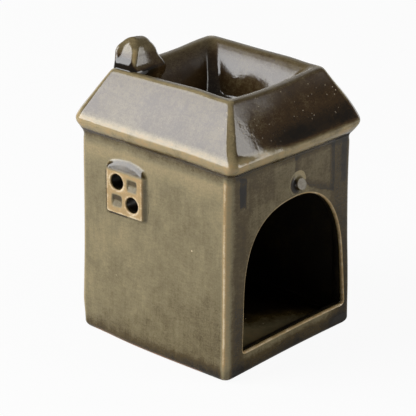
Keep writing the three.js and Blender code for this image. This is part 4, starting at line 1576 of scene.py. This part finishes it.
class BURNER_OT_stage(BurnerOperator, bpy.types.Operator):
    """Sets up the floor, the lights and the camera"""

    bl_idname = "burner.stage"
    bl_label = "Stage"

    def execute(self, context):
        self.floor(context.scene)
        self.room(context.scene)
        self.panels(context.scene)
        self.camera(context.scene)
        return {"FINISHED"}

    @staticmethod
    def floor(scene):
        size = 30.0
        mesh = bpy.data.meshes.new("studio_floor")
        corners = [(-size, -size, 0), (size, -size, 0), (size, size, 0), (-size, size, 0)]
        mesh.from_pydata(corners, [], [(0, 1, 2, 3)])
        floor = bpy.data.objects.new("studio_floor", mesh)
        scene.collection.objects.link(floor)
        tree = Tree(bpy.data.materials.new("studio_paper"))
        paper = tree.node("ShaderNodeBsdfDiffuse", {}, Color=(0.8, 0.8, 0.8, 1))
        glow = tree.node("ShaderNodeEmission", {}, Color=(1, 1, 1, 1), Strength=1.0)
        camera = tree.node("ShaderNodeLightPath", {}, output=0)
        mixed = tree.node("ShaderNodeMixShader", {}, camera * 0.93, paper, glow)
        tree.node("ShaderNodeOutputMaterial", {}, Surface=mixed)
        mesh.materials.append(tree.owner)

    @staticmethod
    def room(scene):
        scene.world = bpy.data.worlds.new("studio_room")
        tree = Tree(scene.world)
        seen = tree.node("ShaderNodeBackground", {}, (1, 1, 1, 1), 1.0)
        room = tree.node("ShaderNodeBackground", {}, (0.95, 0.98, 1.0, 1), scene.burner_studio.room)
        camera = tree.node("ShaderNodeLightPath", {}, output=0)
        mixed = tree.node("ShaderNodeMixShader", {}, camera, room, seen)
        tree.node("ShaderNodeOutputWorld", {}, Surface=mixed)

    @staticmethod
    def panels(scene):
        """Upright lit panels 1.1 m from the part, facing it: azimuth, width, lower and upper edge, radiance
        and tint of each."""
        studio = scene.burner_studio
        distance = 1.1
        for name, azimuth, width, low, high, radiance, tint in (
            ("left_panel", 141.5, 0.96, 0.11, 1.1, studio.left, (0.97, 0.975, 0.985)),
            ("right_panel", -59.5, 0.51, 0.0, 0.80, studio.right, (1.0, 0.99, 0.96)),
            ("backdrop_panel", 38.0, 1.6, 0.28, 0.95, studio.backdrop, (1.0, 1.0, 1.0)),
            ("horizon_panel", 38.0, 2.2, 0.0, 0.28, studio.horizon, (1.0, 1.0, 1.0)),
        ):
            angle = math.radians(azimuth)
            direction = Vector((math.cos(angle), math.sin(angle), 0))
            light = bpy.data.lights.new(name, "AREA")
            light.shape = "RECTANGLE"
            light.size, light.size_y = width, high - low
            light.energy = radiance * width * (high - low) * math.pi
            light.color = tint
            panel = bpy.data.objects.new(name, light)
            panel.location = direction * distance + Vector((0, 0, (low + high) / 2))
            panel.rotation_mode = "QUATERNION"
            panel.rotation_quaternion = (-direction).to_track_quat("-Z", "Y")
            scene.collection.objects.link(panel)

    @staticmethod
    def camera(scene):
        """The camera solved from the photograph's own edges."""
        data = bpy.data.cameras.new("product_camera")
        data.sensor_fit = "HORIZONTAL"
        data.sensor_width = 36
        data.lens = 171.66
        data.clip_start, data.clip_end = 0.01, 100
        camera = bpy.data.objects.new("product_camera", data)
        right = Vector((0.66114185, -0.75018215, 0.01087149))
        up = Vector((0.27382544, 0.25476471, 0.92742362))
        back = Vector((-0.69850632, -0.61018168, 0.37385457))
        turn = Matrix((right, up, back)).transposed().to_4x4()
        camera.matrix_world = Matrix.Translation((-0.655631, -0.567027, 0.409404)) @ turn
        scene.collection.objects.link(camera)
        scene.camera = camera
        scene.view_settings.view_transform = "Standard"


class BURNER_PT_sidebar(bpy.types.Panel):
    """Lists the pieces in the sidebar"""

    bl_label = "Wax melt burner"
    bl_space_type = "VIEW_3D"
    bl_region_type = "UI"
    bl_category = "Burner"

    def draw(self, context):
        for operator in OPERATORS:
            self.layout.operator(operator.bl_idname)
        for name, group in SETTINGS.items():
            box = self.layout.box()
            box.label(text=group.__doc__)
            for key in group.__annotations__:
                box.prop(getattr(context.scene, name), key)


OPERATORS = (
    BURNER_OT_stage,
    BURNER_OT_floor,
    BURNER_OT_walls,
    BURNER_OT_windows,
    BURNER_OT_boss,
    BURNER_OT_roof,
    BURNER_OT_basin,
    BURNER_OT_chimney,
)
CLASSES = (*SETTINGS.values(), *OPERATORS, BURNER_PT_sidebar)


def register():
    for cls in CLASSES:
        bpy.utils.register_class(cls)
    for name, group in SETTINGS.items():
        setattr(bpy.types.Scene, name, PointerProperty(type=group))


def unregister():
    for name in SETTINGS:
        delattr(bpy.types.Scene, name)
    for cls in reversed(CLASSES):
        bpy.utils.unregister_class(cls)


def main():
    register()
    for operator in OPERATORS:
        group, name = operator.bl_idname.split(".")
        getattr(getattr(bpy.ops, group), name)()


if __name__ == "__main__":
    main()
